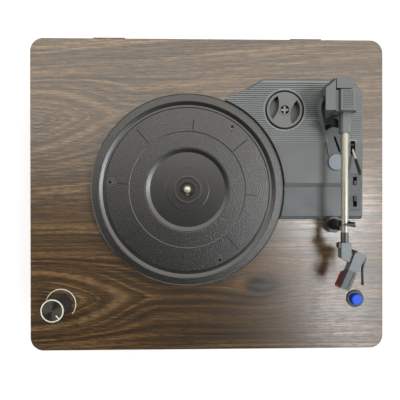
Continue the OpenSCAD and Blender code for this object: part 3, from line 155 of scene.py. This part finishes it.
# Shares of the bands and the lines in the tone, and of the grain, the figure and the bends in the thin lines
TONE_SHARES = (0.44, 0.56)
THIN_SHARES = (0.85, 0.15, 0.3)
VENEER_ROUGH = (0.29, 0.39)
VENEER_EDGE_R = 0.6 * MM
# The normal's share along the grain, with its softness, from which a face shows end grain
END_FACE = (0.705, 0.015)
THREAD_COLOUR = srgb(40, 27, 13)
OUTLINE_COLOUR = srgb(134, 106, 72)
PORE_COLOUR = srgb(24, 15, 7)

# Lamps: name, place, size, watts, colour and the way they face
COOL, WARM, PLAIN = (0.98, 0.99, 1.0), (1.0, 0.97, 0.90), (1.0, 1.0, 1.0)
DOWN = (0.0, 0.0, -1.0)
LAMPS = (
    ("key", (0.67, -0.06, 1.3), (0.30, 0.20), 6.4, COOL, DOWN),
    ("fill", (0.75, -0.55, 1.3), (0.26, 0.46), 5.0, COOL, DOWN),
    ("back", (0.10, 1.12, 1.6), (4.0, 1.9), 57.0, WARM, DOWN),
    ("front_panel_light", (0.0, -1.8, 0.35), (2.0, 0.6), 9.0, PLAIN, (0.0, 1.0, -0.1)),
    ("left_panel_light", (-1.8, -0.2, 0.35), (2.0, 0.6), 9.0, PLAIN, (1.0, 0.0, -0.1)),
    ("right_panel_light", (1.8, -0.1, 0.6), (2.0, 0.5), 13.0, PLAIN, (-1.0, 0.0, -0.2)),
)
ROOM_COLOUR = (1.0, 0.99, 0.97, 1.0)
ROOM_STRENGTH = 0.03
# Heights of view between which the white backdrop fades out for mirrors
HORIZON = (0.22, 0.02)
FLOOR_HALF = 6.0
# Distances from the object and strengths between which the floor's own white grows
FLOOR_GLOW = (0.5, 2.4, 0.72, 1.0)


class Nodes:
    """Short calls for the nodes of one tree; a value is a number, a colour or another node's output."""

    def __init__(self, tree):
        self.tree = tree

    def node(self, kind, inputs=None, **settings):
        node = self.tree.nodes.new(kind)
        for key, value in settings.items():
            setattr(node, key, value)
        self.feed(node, inputs or {})
        return node

    def feed(self, node, inputs):
        for key, value in inputs.items():
            if isinstance(value, bpy.types.NodeSocket):
                self.tree.links.new(value, node.inputs[key])
            else:
                node.inputs[key].default_value = value

    def math(self, operation, *values):
        return self.node("ShaderNodeMath", dict(enumerate(values)), operation=operation).outputs[0]

    def total(self, *parts):
        """The sum of values, each times its share."""
        result = None
        for value, share in parts:
            scaled = self.math("MULTIPLY", value, share)
            result = scaled if result is None else self.math("ADD", result, scaled)
        return result

    def step(self, value, low, high, start=0.0, end=1.0):
        """A smooth change from start to end between two values."""
        inputs = {"Value": value, "From Min": low, "From Max": high, "To Min": start, "To Max": end}
        return self.node("ShaderNodeMapRange", inputs, interpolation_type="SMOOTHSTEP").outputs["Result"]

    def edge(self, value, place, soft, start=0.0, end=1.0):
        """A smooth change from start to end that reaches soft to both sides of a place."""
        return self.step(value, place - soft, place + soft, start, end)

    def seen(self):
        """1 for rays that the camera, a mirror or a clear surface sends."""
        path = self.node("ShaderNodeLightPath").outputs
        result = path["Is Camera Ray"]
        for name in ("Is Glossy Ray", "Is Transmission Ray"):
            result = self.math("MAXIMUM", result, path[name])
        return result


class Finish(Nodes):
    """A procedural material, with short calls for what the finishes share."""

    def __init__(self, name):
        self.material = bpy.data.materials.new(name)
        self.material.use_nodes = True
        super().__init__(self.material.node_tree)
        self.places = self.node("ShaderNodeTexCoord").outputs
        self.coords = self.places["Object"]

    def set(self, values):
        self.feed(self.tree.nodes["Principled BSDF"], values)
        return self.material

    def axes(self, kind="Object"):
        parts = self.node("ShaderNodeSeparateXYZ", {0: self.places[kind]}).outputs
        return {"X": parts[0], "Y": parts[1], "Z": parts[2]}

    def vector(self, x, y, z=0.0):
        return self.node("ShaderNodeCombineXYZ", {0: x, 1: y, 2: z}).outputs[0]

    def noise(self, vector, scale, detail=2.0, roughness=0.5):
        inputs = {"Vector": vector, "Scale": scale, "Detail": detail, "Roughness": roughness}
        return self.node("ShaderNodeTexNoise", inputs).outputs["Fac"]

    def cloud(self, scale):
        return self.noise(self.coords, scale, 3.0)

    def streaks(self, along, across, along_scale, across_scale, detail=3.0):
        """Noise that is stretched along the grain."""
        stretched = self.vector(self.math("MULTIPLY", along, along_scale),
                                self.math("MULTIPLY", across, across_scale))
        return self.noise(stretched, 1.0, detail, 0.6)

    def bell(self, *offsets):
        """A bell curve of 1 in the middle, from (value, middle, half width) for each way."""
        square = None
        for value, middle, half in offsets:
            ratio = self.math("DIVIDE", self.math("SUBTRACT", value, middle), half)
            part = self.math("MULTIPLY", ratio, ratio)
            square = part if square is None else self.math("ADD", square, part)
        return self.math("EXPONENT", self.math("MULTIPLY", square, -1.0))

    def radius_from(self, centre):
        axes = self.axes()
        x = self.math("SUBTRACT", axes["X"], centre[0])
        y = self.math("SUBTRACT", axes["Y"], centre[1])
        return self.math("SQRT", self.math("ADD", self.math("MULTIPLY", x, x), self.math("MULTIPLY", y, y)))

    def ring(self, radius, edges):
        """1 between two edges, each given by its radius and softness."""
        inner, outer = (self.edge(radius, *edge) for edge in edges)
        return self.math("SUBTRACT", inner, outer)

    def mix(self, factor, first, second):
        return self.node("ShaderNodeMix", {0: factor, 6: first, 7: second}, data_type="RGBA").outputs[2]

    def tint(self, ground, mask, share, colour):
        return self.mix(self.math("MULTIPLY", mask, share), ground, colour)

    def shaded(self, cloud, colour, share):
        """A colour that falls to a share of itself in the clouds."""
        return self.mix(cloud, tuple(share * part for part in colour[:3]) + (1.0,), colour)

    def uneven(self, cloud, roughness, spread):
        return self.step(cloud, 0.3, 0.7, roughness - spread, roughness + spread)

    def ramp(self, factor, stops):
        node = self.node("ShaderNodeValToRGB", {"Fac": factor})
        elements = node.color_ramp.elements
        for element, stop in zip((elements[0], elements[-1]), (stops[0], stops[-1])):
            element.position, element.color = stop
        for place, colour in stops[1:-1]:
            elements.new(place).color = colour
        return node.outputs["Color"]

    def rounded(self, radius):
        return self.node("ShaderNodeBevel", {"Radius": radius}, samples=4).outputs[0]

    def bump(self, height, distance, normal=None):
        inputs = {"Height": height, "Distance": distance, "Strength": 1.0}
        if normal is not None:
            inputs["Normal"] = normal
        return self.node("ShaderNodeBump", inputs).outputs[0]

    def grain(self, depth=GRAIN_DEPTH, scale=GRAIN_SCALE, edge=EDGE_R):
        """The normal of a fine even grain with rounded edges."""
        return self.bump(self.noise(self.coords, scale), depth, self.rounded(edge))


def grain_ways(finish, along_axis, across_axis):
    """Places along and across the grain. A level sheet's pattern runs on over its upright edges."""
    axes = finish.axes()
    along, across = axes[along_axis], axes[across_axis]
    if across_axis == "Y":
        across = finish.math("ADD", across, finish.math("SUBTRACT", axes["Z"], DECK_Z))
        end_face = finish.edge(finish.math("ABSOLUTE", finish.axes("Normal")["X"]), *END_FACE)
        level = finish.math("SUBTRACT", 1.0, end_face)
        along = finish.total((along, level), (axes["Y"], end_face))
        across = finish.total((across, level), (axes["Z"], end_face))
    return along, across


def round_knots(finish, along, across, knots):
    """The place across the grain, spread out at each knot so that the lines run round it."""
    for x, y, half_x, half_y, strength in knots:
        near = finish.bell((along, x, half_x), (across, y, half_y))
        push = finish.math("MULTIPLY", finish.math("SUBTRACT", across, y), near)
        across = finish.math("SUBTRACT", across, finish.math("MULTIPLY", push, strength))
    return across


def folded_grain(finish, along, across, folds):
    """The distance across the growth rings: straight grain that folds into nested points."""
    field = None
    for middle, tilt, half, reach, start, end, height in folds:
        axis = finish.math("ADD", finish.math("MULTIPLY", along, tilt), middle)
        offset = finish.math("SUBTRACT", across, axis)
        square = finish.math("MULTIPLY", offset, offset)
        bend = finish.math("SQRT", finish.math("ADD", square, half * half))
        fade = finish.math("EXPONENT", finish.math("MULTIPLY", square, -1 / reach ** 2))
        rise = finish.math("MULTIPLY", finish.step(along, start, end, 0.0, height), fade)
        bend = finish.math("ADD", bend, rise)
        field = bend if field is None else finish.math("MINIMUM", field, bend)
    return field


def walnut(name, along_axis, across_axis, folds, spots=(), knots=()):
    """Dark walnut laminate: tan bands that follow the figure, thin dark lines and a satin coat."""
    finish = Finish(name)
    along, level_across = grain_ways(finish, along_axis, across_axis)
    across = round_knots(finish, along, level_across, knots)
    sway = finish.total(*((finish.math("SUBTRACT", finish.streaks(along, across, *waves), 0.5), width)
                          for waves, width in SWAYS))
    field = folded_grain(finish, along, finish.math("ADD", across, sway), folds)
    straight = finish.total(*zip((across, field, sway), THIN_SHARES))

    kinds = (THREADS, PORES, TICKS)
    noises = [finish.streaks(along, straight, *kind.waves) for kind in kinds]
    masks = [finish.edge(noise, kind.place, kind.soft, 1.0, 0.0) for noise, kind in zip(noises, kinds)]
    fibres, (threads, pores, ticks) = noises[0], masks

    layers = (finish.streaks(along, field, *waves) for waves in (BANDS, LINES))
    tone = finish.total(*zip(layers, TONE_SHARES))
    # Spots lighten or darken the tone; the deck's wide front patch is painted shade.
    for x, y, half_x, half_y, depth in spots:
        spot = finish.bell((along, x, half_x), (level_across, y, half_y))
        tone = finish.math("SUBTRACT", tone, finish.math("MULTIPLY", spot, depth))
    colour = finish.tint(finish.ramp(tone, VENEER_TONES), threads, THREADS.depth, THREAD_COLOUR)
    for middle, half, strength in FOLD_OUTLINES:
        colour = finish.tint(colour, finish.bell((field, middle, half)), strength, OUTLINE_COLOUR)
    colour = finish.tint(colour, pores, PORES.depth, PORE_COLOUR)
    colour = finish.tint(colour, ticks, TICKS.depth, PORE_COLOUR)

    dull = finish.total(*((mask, kind.dull) for mask, kind in zip(masks, kinds)))
    rough = finish.step(dull, 0.0, 1.0, *VENEER_ROUGH)
    relief = finish.math("SUBTRACT", fibres, pores)
    normal = finish.bump(relief, GRAIN_DEPTH, finish.rounded(VENEER_EDGE_R))
    return finish.set({"Base Color": colour, "Roughness": rough, "Specular IOR Level": 1.0,
                       "Normal": normal})


def moulded(name, colour, roughness, specular=0.5, depth=GRAIN_DEPTH, scale=GRAIN_SCALE):
    """Moulded plastic: a faint spark-eroded grain, cloudy gloss and softened edges."""
    finish = Finish(name)
    cloud = finish.cloud(PLASTIC_CLOUD)
    return finish.set({"Base Color": finish.shaded(cloud, colour, 0.90),
                       "Roughness": finish.uneven(cloud, roughness, 0.04),
                       "Specular IOR Level": specular, "Normal": finish.grain(depth, scale)})


def plinth_plastic(name):
    """Grey moulded plastic, painted paler on the ribs as sheen, and painted darker as shade in the grooves
    between them and on the ledge.
    """
    finish = Finish(name)
    axes = finish.axes()
    cloud = finish.cloud(PLASTIC_CLOUD)
    behind = finish.edge(axes["Y"], RIB_FRONT - 0.5 * MM, 0.5 * MM)
    low = finish.edge(axes["Z"], RIB_TOP - 0.2 * MM, 0.1 * MM, 1.0, 0.0)
    shallow = finish.edge(axes["Z"], RIB_TOP - 0.9 * MM, 0.1 * MM)
    shaded_groove = finish.math("MULTIPLY", finish.math("MULTIPLY", low, shallow), behind)
    ledge = finish.edge(axes["Z"], LEDGE_Z + 0.3 * MM, 0.1 * MM, 1.0, 0.0)
    # The pale ribs are painted sheen; the dark ledge and the dark grooves are painted shade.
    colour = finish.mix(cloud, srgb(80, 84, 85), srgb(87, 91, 92))
    colour = finish.mix(behind, colour, srgb(116, 121, 122))
    colour = finish.mix(ledge, colour, srgb(72, 77, 79))
    colour = finish.tint(colour, shaded_groove, 0.8, srgb(60, 62, 63))
    return finish.set({"Base Color": colour, "Roughness": finish.uneven(cloud, 0.48, 0.04),
                       "Specular IOR Level": 0.5, "Normal": finish.grain()})


def platter_plastic(name):
    """Black plastic with a leather grain on the disc and the rim, smooth in the middle and on the slope."""
    finish = Finish(name)
    radius = finish.radius_from(SPINDLE)
    height = finish.axes()["Z"]
    marks = finish.ring(radius, MARKS)
    shaded_groove = finish.math("MULTIPLY", marks, finish.edge(height, DISC_Z - 0.175 * MM, 0.075 * MM, 1.0, 0.0))
    eyelet = finish.math("MULTIPLY", marks, finish.edge(height, DISC_Z + 0.175 * MM, 0.075 * MM))
    grained = finish.math("ADD", finish.ring(radius, DISC), finish.edge(radius, *RIM))
    grained = finish.math("MULTIPLY", grained, finish.math("SUBTRACT", 1.0, eyelet))

    inputs = {"Vector": finish.coords, "Scale": LEATHER_CELLS, "Smoothness": 0.2}
    cells = finish.node("ShaderNodeTexVoronoi", inputs, feature="SMOOTH_F1").outputs["Distance"]
    leather = finish.total((cells, 0.7), (finish.noise(finish.coords, LEATHER_FUZZ), 0.6))
    hub = finish.edge(radius, HUB_R, 0.3 * MM, 1.0, 0.0)
    lip = finish.bell((radius, HUB_R + 2.0 * MM, 1.1 * MM))
    raised = finish.edge(radius, STEP_R, 0.5 * MM, 1.0, 0.0)
    relief = finish.total((leather, grained), (lip, 0.5), (raised, 0.8))
    normal = finish.bump(relief, LEATHER_DEPTH, finish.rounded(0.3 * MM))

    smooth = finish.mix(finish.cloud(40.0), srgb(20, 20, 19), srgb(24, 24, 23))
    # Painted highlight: the lip round the hub is painted paler, on top of its raised bump.
    smooth = finish.mix(lip, finish.mix(hub, smooth, srgb(7, 7, 7)), srgb(33, 33, 32))
    skin = finish.ramp(leather, ((0.45, srgb(5, 5, 5)), (0.62, srgb(12, 12, 12)), (0.80, srgb(34, 34, 33))))
    # Painted shade: the grooves of the marks are nearly black.
    colour = finish.mix(shaded_groove, finish.mix(grained, smooth, skin), srgb(4, 4, 4))
    colour = finish.mix(eyelet, colour, srgb(78, 78, 76))

    rough = finish.edge(radius, *RIM, finish.step(grained, 0.0, 1.0, 0.31, 0.34), 0.39)
    rough = finish.step(shaded_groove, 0.0, 1.0, rough, 0.8)
    return finish.set({"Base Color": colour, "Roughness": rough, "Specular IOR Level": 0.85,
                       "Normal": normal})


def head_plastic(name):
    """Bluish grey plastic, darker on the front part of the head."""
    finish = Finish(name)
    axes = finish.axes()
    ahead = finish.total((axes["X"], HEAD_AHEAD.x), (axes["Y"], HEAD_AHEAD.y))
    front = finish.edge(ahead, HEAD_SEAM, 0.2 * MM)
    rear = finish.mix(finish.cloud(300.0), srgb(88, 95, 101), srgb(104, 111, 116))
    colour = finish.mix(front, rear, srgb(64, 68, 71))
    return finish.set({"Base Color": colour, "Roughness": 0.42, "Specular IOR Level": 0.5,
                       "Normal": finish.grain()})


def lever_metal(name):
    """Bright steel for the cue lever's rod; its hub below the plinth's ribs is painted black as the shade of
    the hole it rises from.
    """
    finish = Finish(name)
    above = finish.edge(finish.axes()["Z"], RIB_TOP, 0.2 * MM)
    streak = finish.cloud(400.0)
    bright = finish.mix(streak, srgb(196, 188, 166), srgb(226, 218, 196))
    # Painted shade: the rod is black below the rib tops, where it sits in its hole.
    colour = finish.mix(above, srgb(16, 16, 16), bright)
    normal = finish.bump(streak, GRAIN_DEPTH, finish.rounded(0.2 * MM))
    return finish.set({"Base Color": colour, "Metallic": 0.4, "Roughness": 0.4, "Normal": normal})


def metal(name, colour, roughness, along="Y", metallic=1.0):
    """Drawn or plated metal with fine lines along the given axis and slightly uneven gloss."""
    finish = Finish(name)
    axes = finish.axes()
    waves = {axis: (18.0 if axis == along else 2400.0) for axis in "XYZ"}
    stretched = finish.vector(*(finish.math("MULTIPLY", axes[axis], waves[axis]) for axis in "XYZ"))
    lines = finish.noise(stretched, 1.0)
    normal = finish.bump(lines, GRAIN_DEPTH, finish.rounded(0.3 * MM))
    return finish.set({"Base Color": finish.shaded(finish.cloud(60.0), colour, 0.86), "Metallic": metallic,
                       "Roughness": finish.uneven(lines, roughness, 0.05), "Normal": normal})


def spun_cap(name):
    """Dark anodised aluminium with circular lathe lines, which give the four-sector sheen."""
    finish = Finish(name)
    radius = finish.radius_from(KNOB)
    lines = finish.noise(finish.vector(finish.math("MULTIPLY", radius, 5200.0), 0.0), 1.0)
    colour = finish.mix(lines, srgb(104, 103, 95), srgb(146, 145, 135))
    tangent = finish.node("ShaderNodeTangent", direction_type="RADIAL", axis="Z").outputs[0]
    return finish.set({"Base Color": colour, "Metallic": 1.0, "Roughness": 0.36, "Anisotropic": 0.85,
                       "Tangent": tangent, "Normal": finish.bump(lines, GRAIN_DEPTH)})


def rubber(name):
    """Black rubber, greyer where dust lies on it."""
    finish = Finish(name)
    dust = finish.noise(finish.coords, 180.0, 4.0)
    colour = finish.ramp(dust, ((0.35, srgb(20, 20, 20)), (0.75, srgb(42, 41, 39))))
    return finish.set({"Base Color": colour, "Roughness": 0.78, "Specular IOR Level": 0.35,
                       "Normal": finish.grain(0.03 * MM, 1500.0, 0.5 * MM)})


def fibreboard(name):
    """Bare brown board with fine flakes."""
    finish = Finish(name)
    flakes = finish.noise(finish.coords, 900.0, 4.0, 0.7)
    colour = finish.ramp(finish.total((flakes, 0.6), (finish.cloud(30.0), 0.4)),
                         ((0.3, srgb(112, 84, 58)), (0.7, srgb(158, 124, 88))))
    return finish.set({"Base Color": colour, "Roughness": 0.8, "Normal": finish.bump(flakes, 0.06 * MM)})


def circuit(name):
    """Green circuit board with paler traces."""
    finish = Finish(name)
    axes = finish.axes()
    cells = finish.node("ShaderNodeTexVoronoi", {"Vector": finish.coords, "Scale": 260.0},
                        distance="CHEBYCHEV", feature="F1").outputs["Distance"]
    rows = finish.streaks(axes["X"], axes["Y"], 60.0, 700.0)
    traces = finish.step(finish.total((cells, 0.6), (rows, 1.0)), 0.62, 0.70)
    colour = finish.mix(traces, srgb(22, 74, 40), srgb(64, 124, 62))
    return finish.set({"Base Color": colour, "Roughness": 0.38, "Normal": finish.bump(traces, 0.04 * MM)})


def cone_paper(name):
    """Dark pulp of the loudspeakers' cones."""
    finish = Finish(name)
    fibres = finish.noise(finish.coords, 1400.0, 5.0, 0.7)
    colour = finish.ramp(fibres, ((0.3, srgb(22, 21, 20)), (0.7, srgb(52, 49, 46))))
    return finish.set({"Base Color": colour, "Roughness": 0.85, "Normal": finish.bump(fibres, 0.08 * MM)})


def jack_plastic(name):
    """Seen from behind, white for the left jack and red for the right one, with a moulded grain."""
    finish = Finish(name)
    low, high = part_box("line_out_jacks")
    side = finish.edge(finish.axes()["X"], (low[0] + high[0]) / 2, MM)
    colour = finish.mix(side, srgb(176, 24, 22), srgb(214, 210, 200))
    return finish.set({"Base Color": colour, "Roughness": 0.42,
                       "Normal": finish.grain(GRAIN_DEPTH, 1800.0, 0.3 * MM)})


def printed_white(name):
    """Off-white print and paint with a faint speckle."""
    finish = Finish(name)
    speckle = finish.cloud(GRAIN_SCALE)
    colour = finish.ramp(speckle, ((0.3, srgb(196, 192, 182)), (0.6, srgb(226, 222, 212))))
    return finish.set({"Base Color": colour, "Roughness": 0.5})


def make_finishes(black):
    """Every finish with the names of the CAD nodes that it is for."""
    return {
        walnut("walnut_deck", "X", "Y", DECK_FOLDS, DECK_SPOTS_AND_SHADE, DECK_KNOTS): ("top_deck",),
        walnut("walnut_front", "X", "Z", SIDE_FOLDS): ("front_panel", "rear_panel"),
        walnut("walnut_side", "Y", "Z", SIDE_FOLDS): ("left_panel", "right_panel"),
        fibreboard("board_wood"): ("base_panel", "corner_blocks"),
        rubber("rubber"): ("rubber_feet", "drive_belt"),
        plinth_plastic("plinth_plastic"): ("plinth",),
        moulded("grey_plastic", srgb(90, 95, 97), 0.40): ("arm_yoke", "arm_block"),
        head_plastic("head_plastic"): ("headshell",),
        lever_metal("lever_metal"): ("cue_rod",),
        moulded("collar_plastic", srgb(46, 47, 48), 0.34, specular=0.9): ("tube_collar",),
        moulded("switch_plastic", srgb(58, 62, 65), 0.42, specular=0.4): ("switch_plate",),
        black: (
            "left_grille", "right_grille", "hinge_sockets", "jack_plate", "power_inlet", "slide_switches",
            "platter_clip", "finger_lift", "cartridge", "arm_rest", "arm_clip", "cue_grip",
            "auto_stop_slider", "speed_slider", "volume_knob", "button_bezel", "button_switch"),
        moulded("cue_plastic", srgb(14, 14, 15), 0.62, specular=0.2): ("cue_platform",),
        platter_plastic("platter_plastic"): ("platter",),
        moulded("adapter_plastic", srgb(102, 103, 101), 0.44): ("adapter_45",),
        metal("steel", srgb(190, 188, 182), 0.28): (
            "base_screws", "rear_screws", "plinth_screws", "motor", "motor_shaft", "arm_bearing",
            "arm_pivot_pins", "counterweight", "stylus_needle", "volume_pot", "volume_shaft"),
        metal("brass", srgb(214, 190, 138), 0.26, along="Z"): (
            "platter_bush", "motor_pulley", "board_posts"),
        metal("spindle_metal", srgb(222, 214, 190), 0.24, along="Z", metallic=0.6): ("spindle",),
        metal("tube_aluminium", srgb(168, 164, 150), 0.30, metallic=0.5): ("arm_tube",),
        spun_cap("cap_aluminium"): ("knob_cap",),
        moulded("blue_plastic", srgb(4, 76, 206), 0.40, specular=0.3): ("button_cap",),
        moulded("red_plastic", srgb(184, 26, 30), 0.36): ("stylus_holder",),
        circuit("circuit"): ("circuit_board",),
        cone_paper("cone_paper"): ("left_speaker", "right_speaker"),
        jack_plastic("jack_plastic"): ("line_out_jacks",),
    }


def dress_nodes(finishes):
    """Gives every CAD node its finish."""
    for material, names in finishes.items():
        for name in names:
            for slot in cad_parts[name].material_slots:
                slot.material = material


def new_piece(name, shape):
    """An object from a finished bmesh, with its faces turned outwards."""
    bmesh.ops.remove_doubles(shape, verts=shape.verts, dist=1e-7)
    bmesh.ops.recalc_face_normals(shape, faces=shape.faces)
    mesh = bpy.data.meshes.new(name)
    shape.to_mesh(mesh)
    shape.free()
    return bpy.data.objects.new(name, mesh)


def lathe(name, centre, section, start=0, end=360, count=96):
    """Turns a closed section of (radius, height) points round an upright axis, angles in degrees."""
    shape = bmesh.new()
    full = end - start == 360
    rows = []
    for index in range(count if full else count + 1):
        angle = math.radians(start + (end - start) * index / count)
        ray = Vector((math.cos(angle), math.sin(angle)))
        rows.append([shape.verts.new((centre[0] + ray.x * r, centre[1] + ray.y * r, z)) for r, z in section])
    following = rows[1:] + rows[:1] if full else rows[1:]
    for first, second in zip(rows, following):
        for side in range(len(section)):
            after = (side + 1) % len(section)
            if section[side][0] or section[after][0]:
                shape.faces.new((first[side], first[after], second[after], second[side]))
    if not full:
        shape.faces.new(rows[0])
        shape.faces.new(rows[-1])
    return new_piece(name, shape)


def bevelled_box(name, low, high, bevel, turn=0.0, about=(0.0, 0.0)):
    """A box between two corners with rounded edges, turned in plan and set down at a point."""
    shape = bmesh.new()
    bmesh.ops.create_cube(shape, size=1.0)
    low, high = Vector(low), Vector(high)
    bmesh.ops.scale(shape, verts=shape.verts, vec=high - low)
    bmesh.ops.translate(shape, verts=shape.verts, vec=(low + high) / 2)
    bmesh.ops.bevel(shape, geom=shape.edges[:], offset=bevel, segments=3, profile=0.5, affect="EDGES")
    spin = Matrix.Rotation(math.radians(turn), 4, "Z")
    centre = Vector((about[0], about[1], 0.0))
    bmesh.ops.transform(shape, verts=shape.verts, matrix=Matrix.Translation(centre) @ spin)
    return new_piece(name, shape)


def band(radii, base, sink, rise, bevel):
    """The section of a flat ring, sunk below its base, with its upper edges bevelled."""
    inner, outer = radii
    low, high = base - sink, base + rise
    return ((inner, low), (outer, low), (outer, high - bevel), (outer - bevel, high),
            (inner + bevel, high), (inner, high - bevel))


def dome(base, sink, side, shoulder, top):
    """The section of a round pad, sunk below its base: its side, its shoulder and the top of its middle."""
    return ((0.0, base - sink), (side[0], base - sink), (side[0], base + side[1]),
            (shoulder[0], base + shoulder[1]), (0.0, base + top))


def place(piece, material, body, slot):
    """Links a piece, gives it its material and lets it ride on a body."""
    bpy.context.scene.collection.objects.link(piece)
    piece.data.materials.append(material)
    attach(piece, body)


def make_volume_trim(white):
    """The arc that is printed on the deck, and the knob's bright rim and pointer."""
    arc = band(ARC_RADII, DECK_Z, sink=0.02 * MM, rise=0.06 * MM, bevel=0.02 * MM)
    place(lathe("volume_arc", KNOB, arc, *ARC_ANGLES, count=120), white, "cabinet", "grey_plastic")
    rim = band(KNOB_RIM_RADII, KNOB_TOP, sink=0.45 * MM, rise=0.2 * MM, bevel=0.15 * MM)
    place(lathe("knob_rim", KNOB, rim), white, "volume_knob", "cap_aluminium")
    start, end = POINTER_RADII
    pointer = bevelled_box("knob_pointer", (start, -POINTER_HALF, KNOB_TOP - 0.25 * MM),
                           (end, POINTER_HALF, KNOB_TOP + 0.1 * MM), bevel=0.1 * MM,
                           turn=POINTER_TURN, about=KNOB)
    place(pointer, white, "volume_knob", "cap_aluminium")


def make_cue_pad():
    """The thin felt pad on the plinth under the arm tube."""
    pad = dome(PAD_DISC_Z, sink=0.1 * MM, side=(8.4 * MM, 0.3 * MM), shoulder=(8.0 * MM, 0.55 * MM),
               top=0.6 * MM)
    felt = moulded("pad_felt", srgb(128, 137, 148), 0.7, depth=0.04 * MM, scale=1600.0)
    place(lathe("cue_pad", CUE_PAD, pad), felt, "cabinet", "rubber")


def make_head_trim(black):
    """The latch at the headshell's side and the pin on its top."""
    latch = bevelled_box("head_latch", *HEAD_LATCH, bevel=0.3 * MM)
    place(latch, black, "tone_arm", "black_plastic")
    pin = dome(HEAD_TOP, sink=0.3 * MM, side=(1.3 * MM, 0.3 * MM), shoulder=(0.9 * MM, 0.7 * MM),
               top=0.85 * MM)
    place(lathe("head_pin", HEAD_PIN, pin, count=32), black, "tone_arm", "black_plastic")


def make_rest_base(black):
    """The thin ring at the arm rest's foot."""
    ring = band(REST_BASE_RADII, LEDGE_Z, sink=0.2 * MM, rise=0.7 * MM, bevel=0.4 * MM)
    place(lathe("rest_base", REST_LOBE, ring), black, "cabinet", "black_plastic")


def floor_finish():
    """Pale floor that shows as white where it is lit and keeps a faint shadow."""
    finish = Finish("floor_white")
    seen = finish.seen()
    glow = finish.math("MULTIPLY", seen, finish.step(finish.radius_from((0.0, 0.0)), *FLOOR_GLOW))
    pale = finish.mix(finish.noise(finish.coords, 3.0), srgb(228, 228, 226), srgb(234, 234, 232))
    shade = finish.mix(seen, pale, srgb(160, 160, 160))
    return finish.set({"Base Color": shade, "Roughness": 0.9, "Specular IOR Level": 0.0,
                       "Emission Color": WHITE, "Emission Strength": glow})


def make_floor():
    """A wide level floor under the object."""
    mesh = bpy.data.meshes.new("floor")
    shape = bmesh.new()
    bmesh.ops.create_grid(shape, x_segments=1, y_segments=1, size=FLOOR_HALF)
    shape.to_mesh(mesh)
    shape.free()
    floor = bpy.data.objects.new("floor", mesh)
    bpy.context.scene.collection.objects.link(floor)
    mesh.materials.append(floor_finish())


def white_backdrop(nodes):
    """1 for the camera everywhere, and for mirrors and clear surfaces near the horizon."""
    view = nodes.node("ShaderNodeTexCoord").outputs["Generated"]
    height = nodes.node("ShaderNodeSeparateXYZ", {0: view}).outputs[2]
    mirrored = nodes.math("MULTIPLY", nodes.seen(), nodes.step(height, *HORIZON))
    camera = nodes.node("ShaderNodeLightPath").outputs["Is Camera Ray"]
    return nodes.math("MAXIMUM", camera, mirrored)


def make_world():
    """White behind the object for the camera, a dim room for the light."""
    world = bpy.data.worlds.new("studio")
    world.use_nodes = True
    bpy.context.scene.world = world
    nodes = Nodes(world.node_tree)
    room = nodes.tree.nodes["Background"]
    nodes.feed(room, {"Color": ROOM_COLOUR, "Strength": ROOM_STRENGTH})
    white = nodes.node("ShaderNodeBackground", {"Color": WHITE, "Strength": 1.0})
    chosen = nodes.node("ShaderNodeMixShader",
                        {0: white_backdrop(nodes), 1: room.outputs[0], 2: white.outputs[0]})
    nodes.feed(nodes.tree.nodes["World Output"], {"Surface": chosen.outputs[0]})


def make_lights():
    """Key and fill on the right and a wide back light, all overhead, with low panels for three sides."""
    for name, at, size, power, colour, facing in LAMPS:
        data = bpy.data.lights.new(name, "AREA")
        data.shape = "RECTANGLE"
        data.size, data.size_y = size
        data.energy = power
        data.color = colour
        lamp = bpy.data.objects.new(name, data)
        lamp.location = at
        lamp.rotation_euler = Vector(facing).to_track_quat("-Z", "Y").to_euler()
        bpy.context.scene.collection.objects.link(lamp)


def make_camera():
    """The photograph's camera."""
    data = bpy.data.cameras.new("camera")
    data.sensor_width = SENSOR_MM
    data.lens = FOCAL_PX / FRAME_PX * SENSOR_MM
    camera = bpy.data.objects.new("camera", data)
    camera.location = CAMERA_AT
    camera.rotation_euler = CAMERA_TURN
    bpy.context.scene.collection.objects.link(camera)
    bpy.context.scene.camera = camera


make_camera()
black_plastic = moulded("black_plastic", srgb(26, 26, 27), 0.42)
white_print = printed_white("printed_white")
dress_nodes(make_finishes(black_plastic))
make_volume_trim(white_print)
make_cue_pad()
make_head_trim(black_plastic)
make_rest_base(black_plastic)
make_floor()
make_world()
make_lights()
bpy.context.scene.view_settings.view_transform = "Standard"
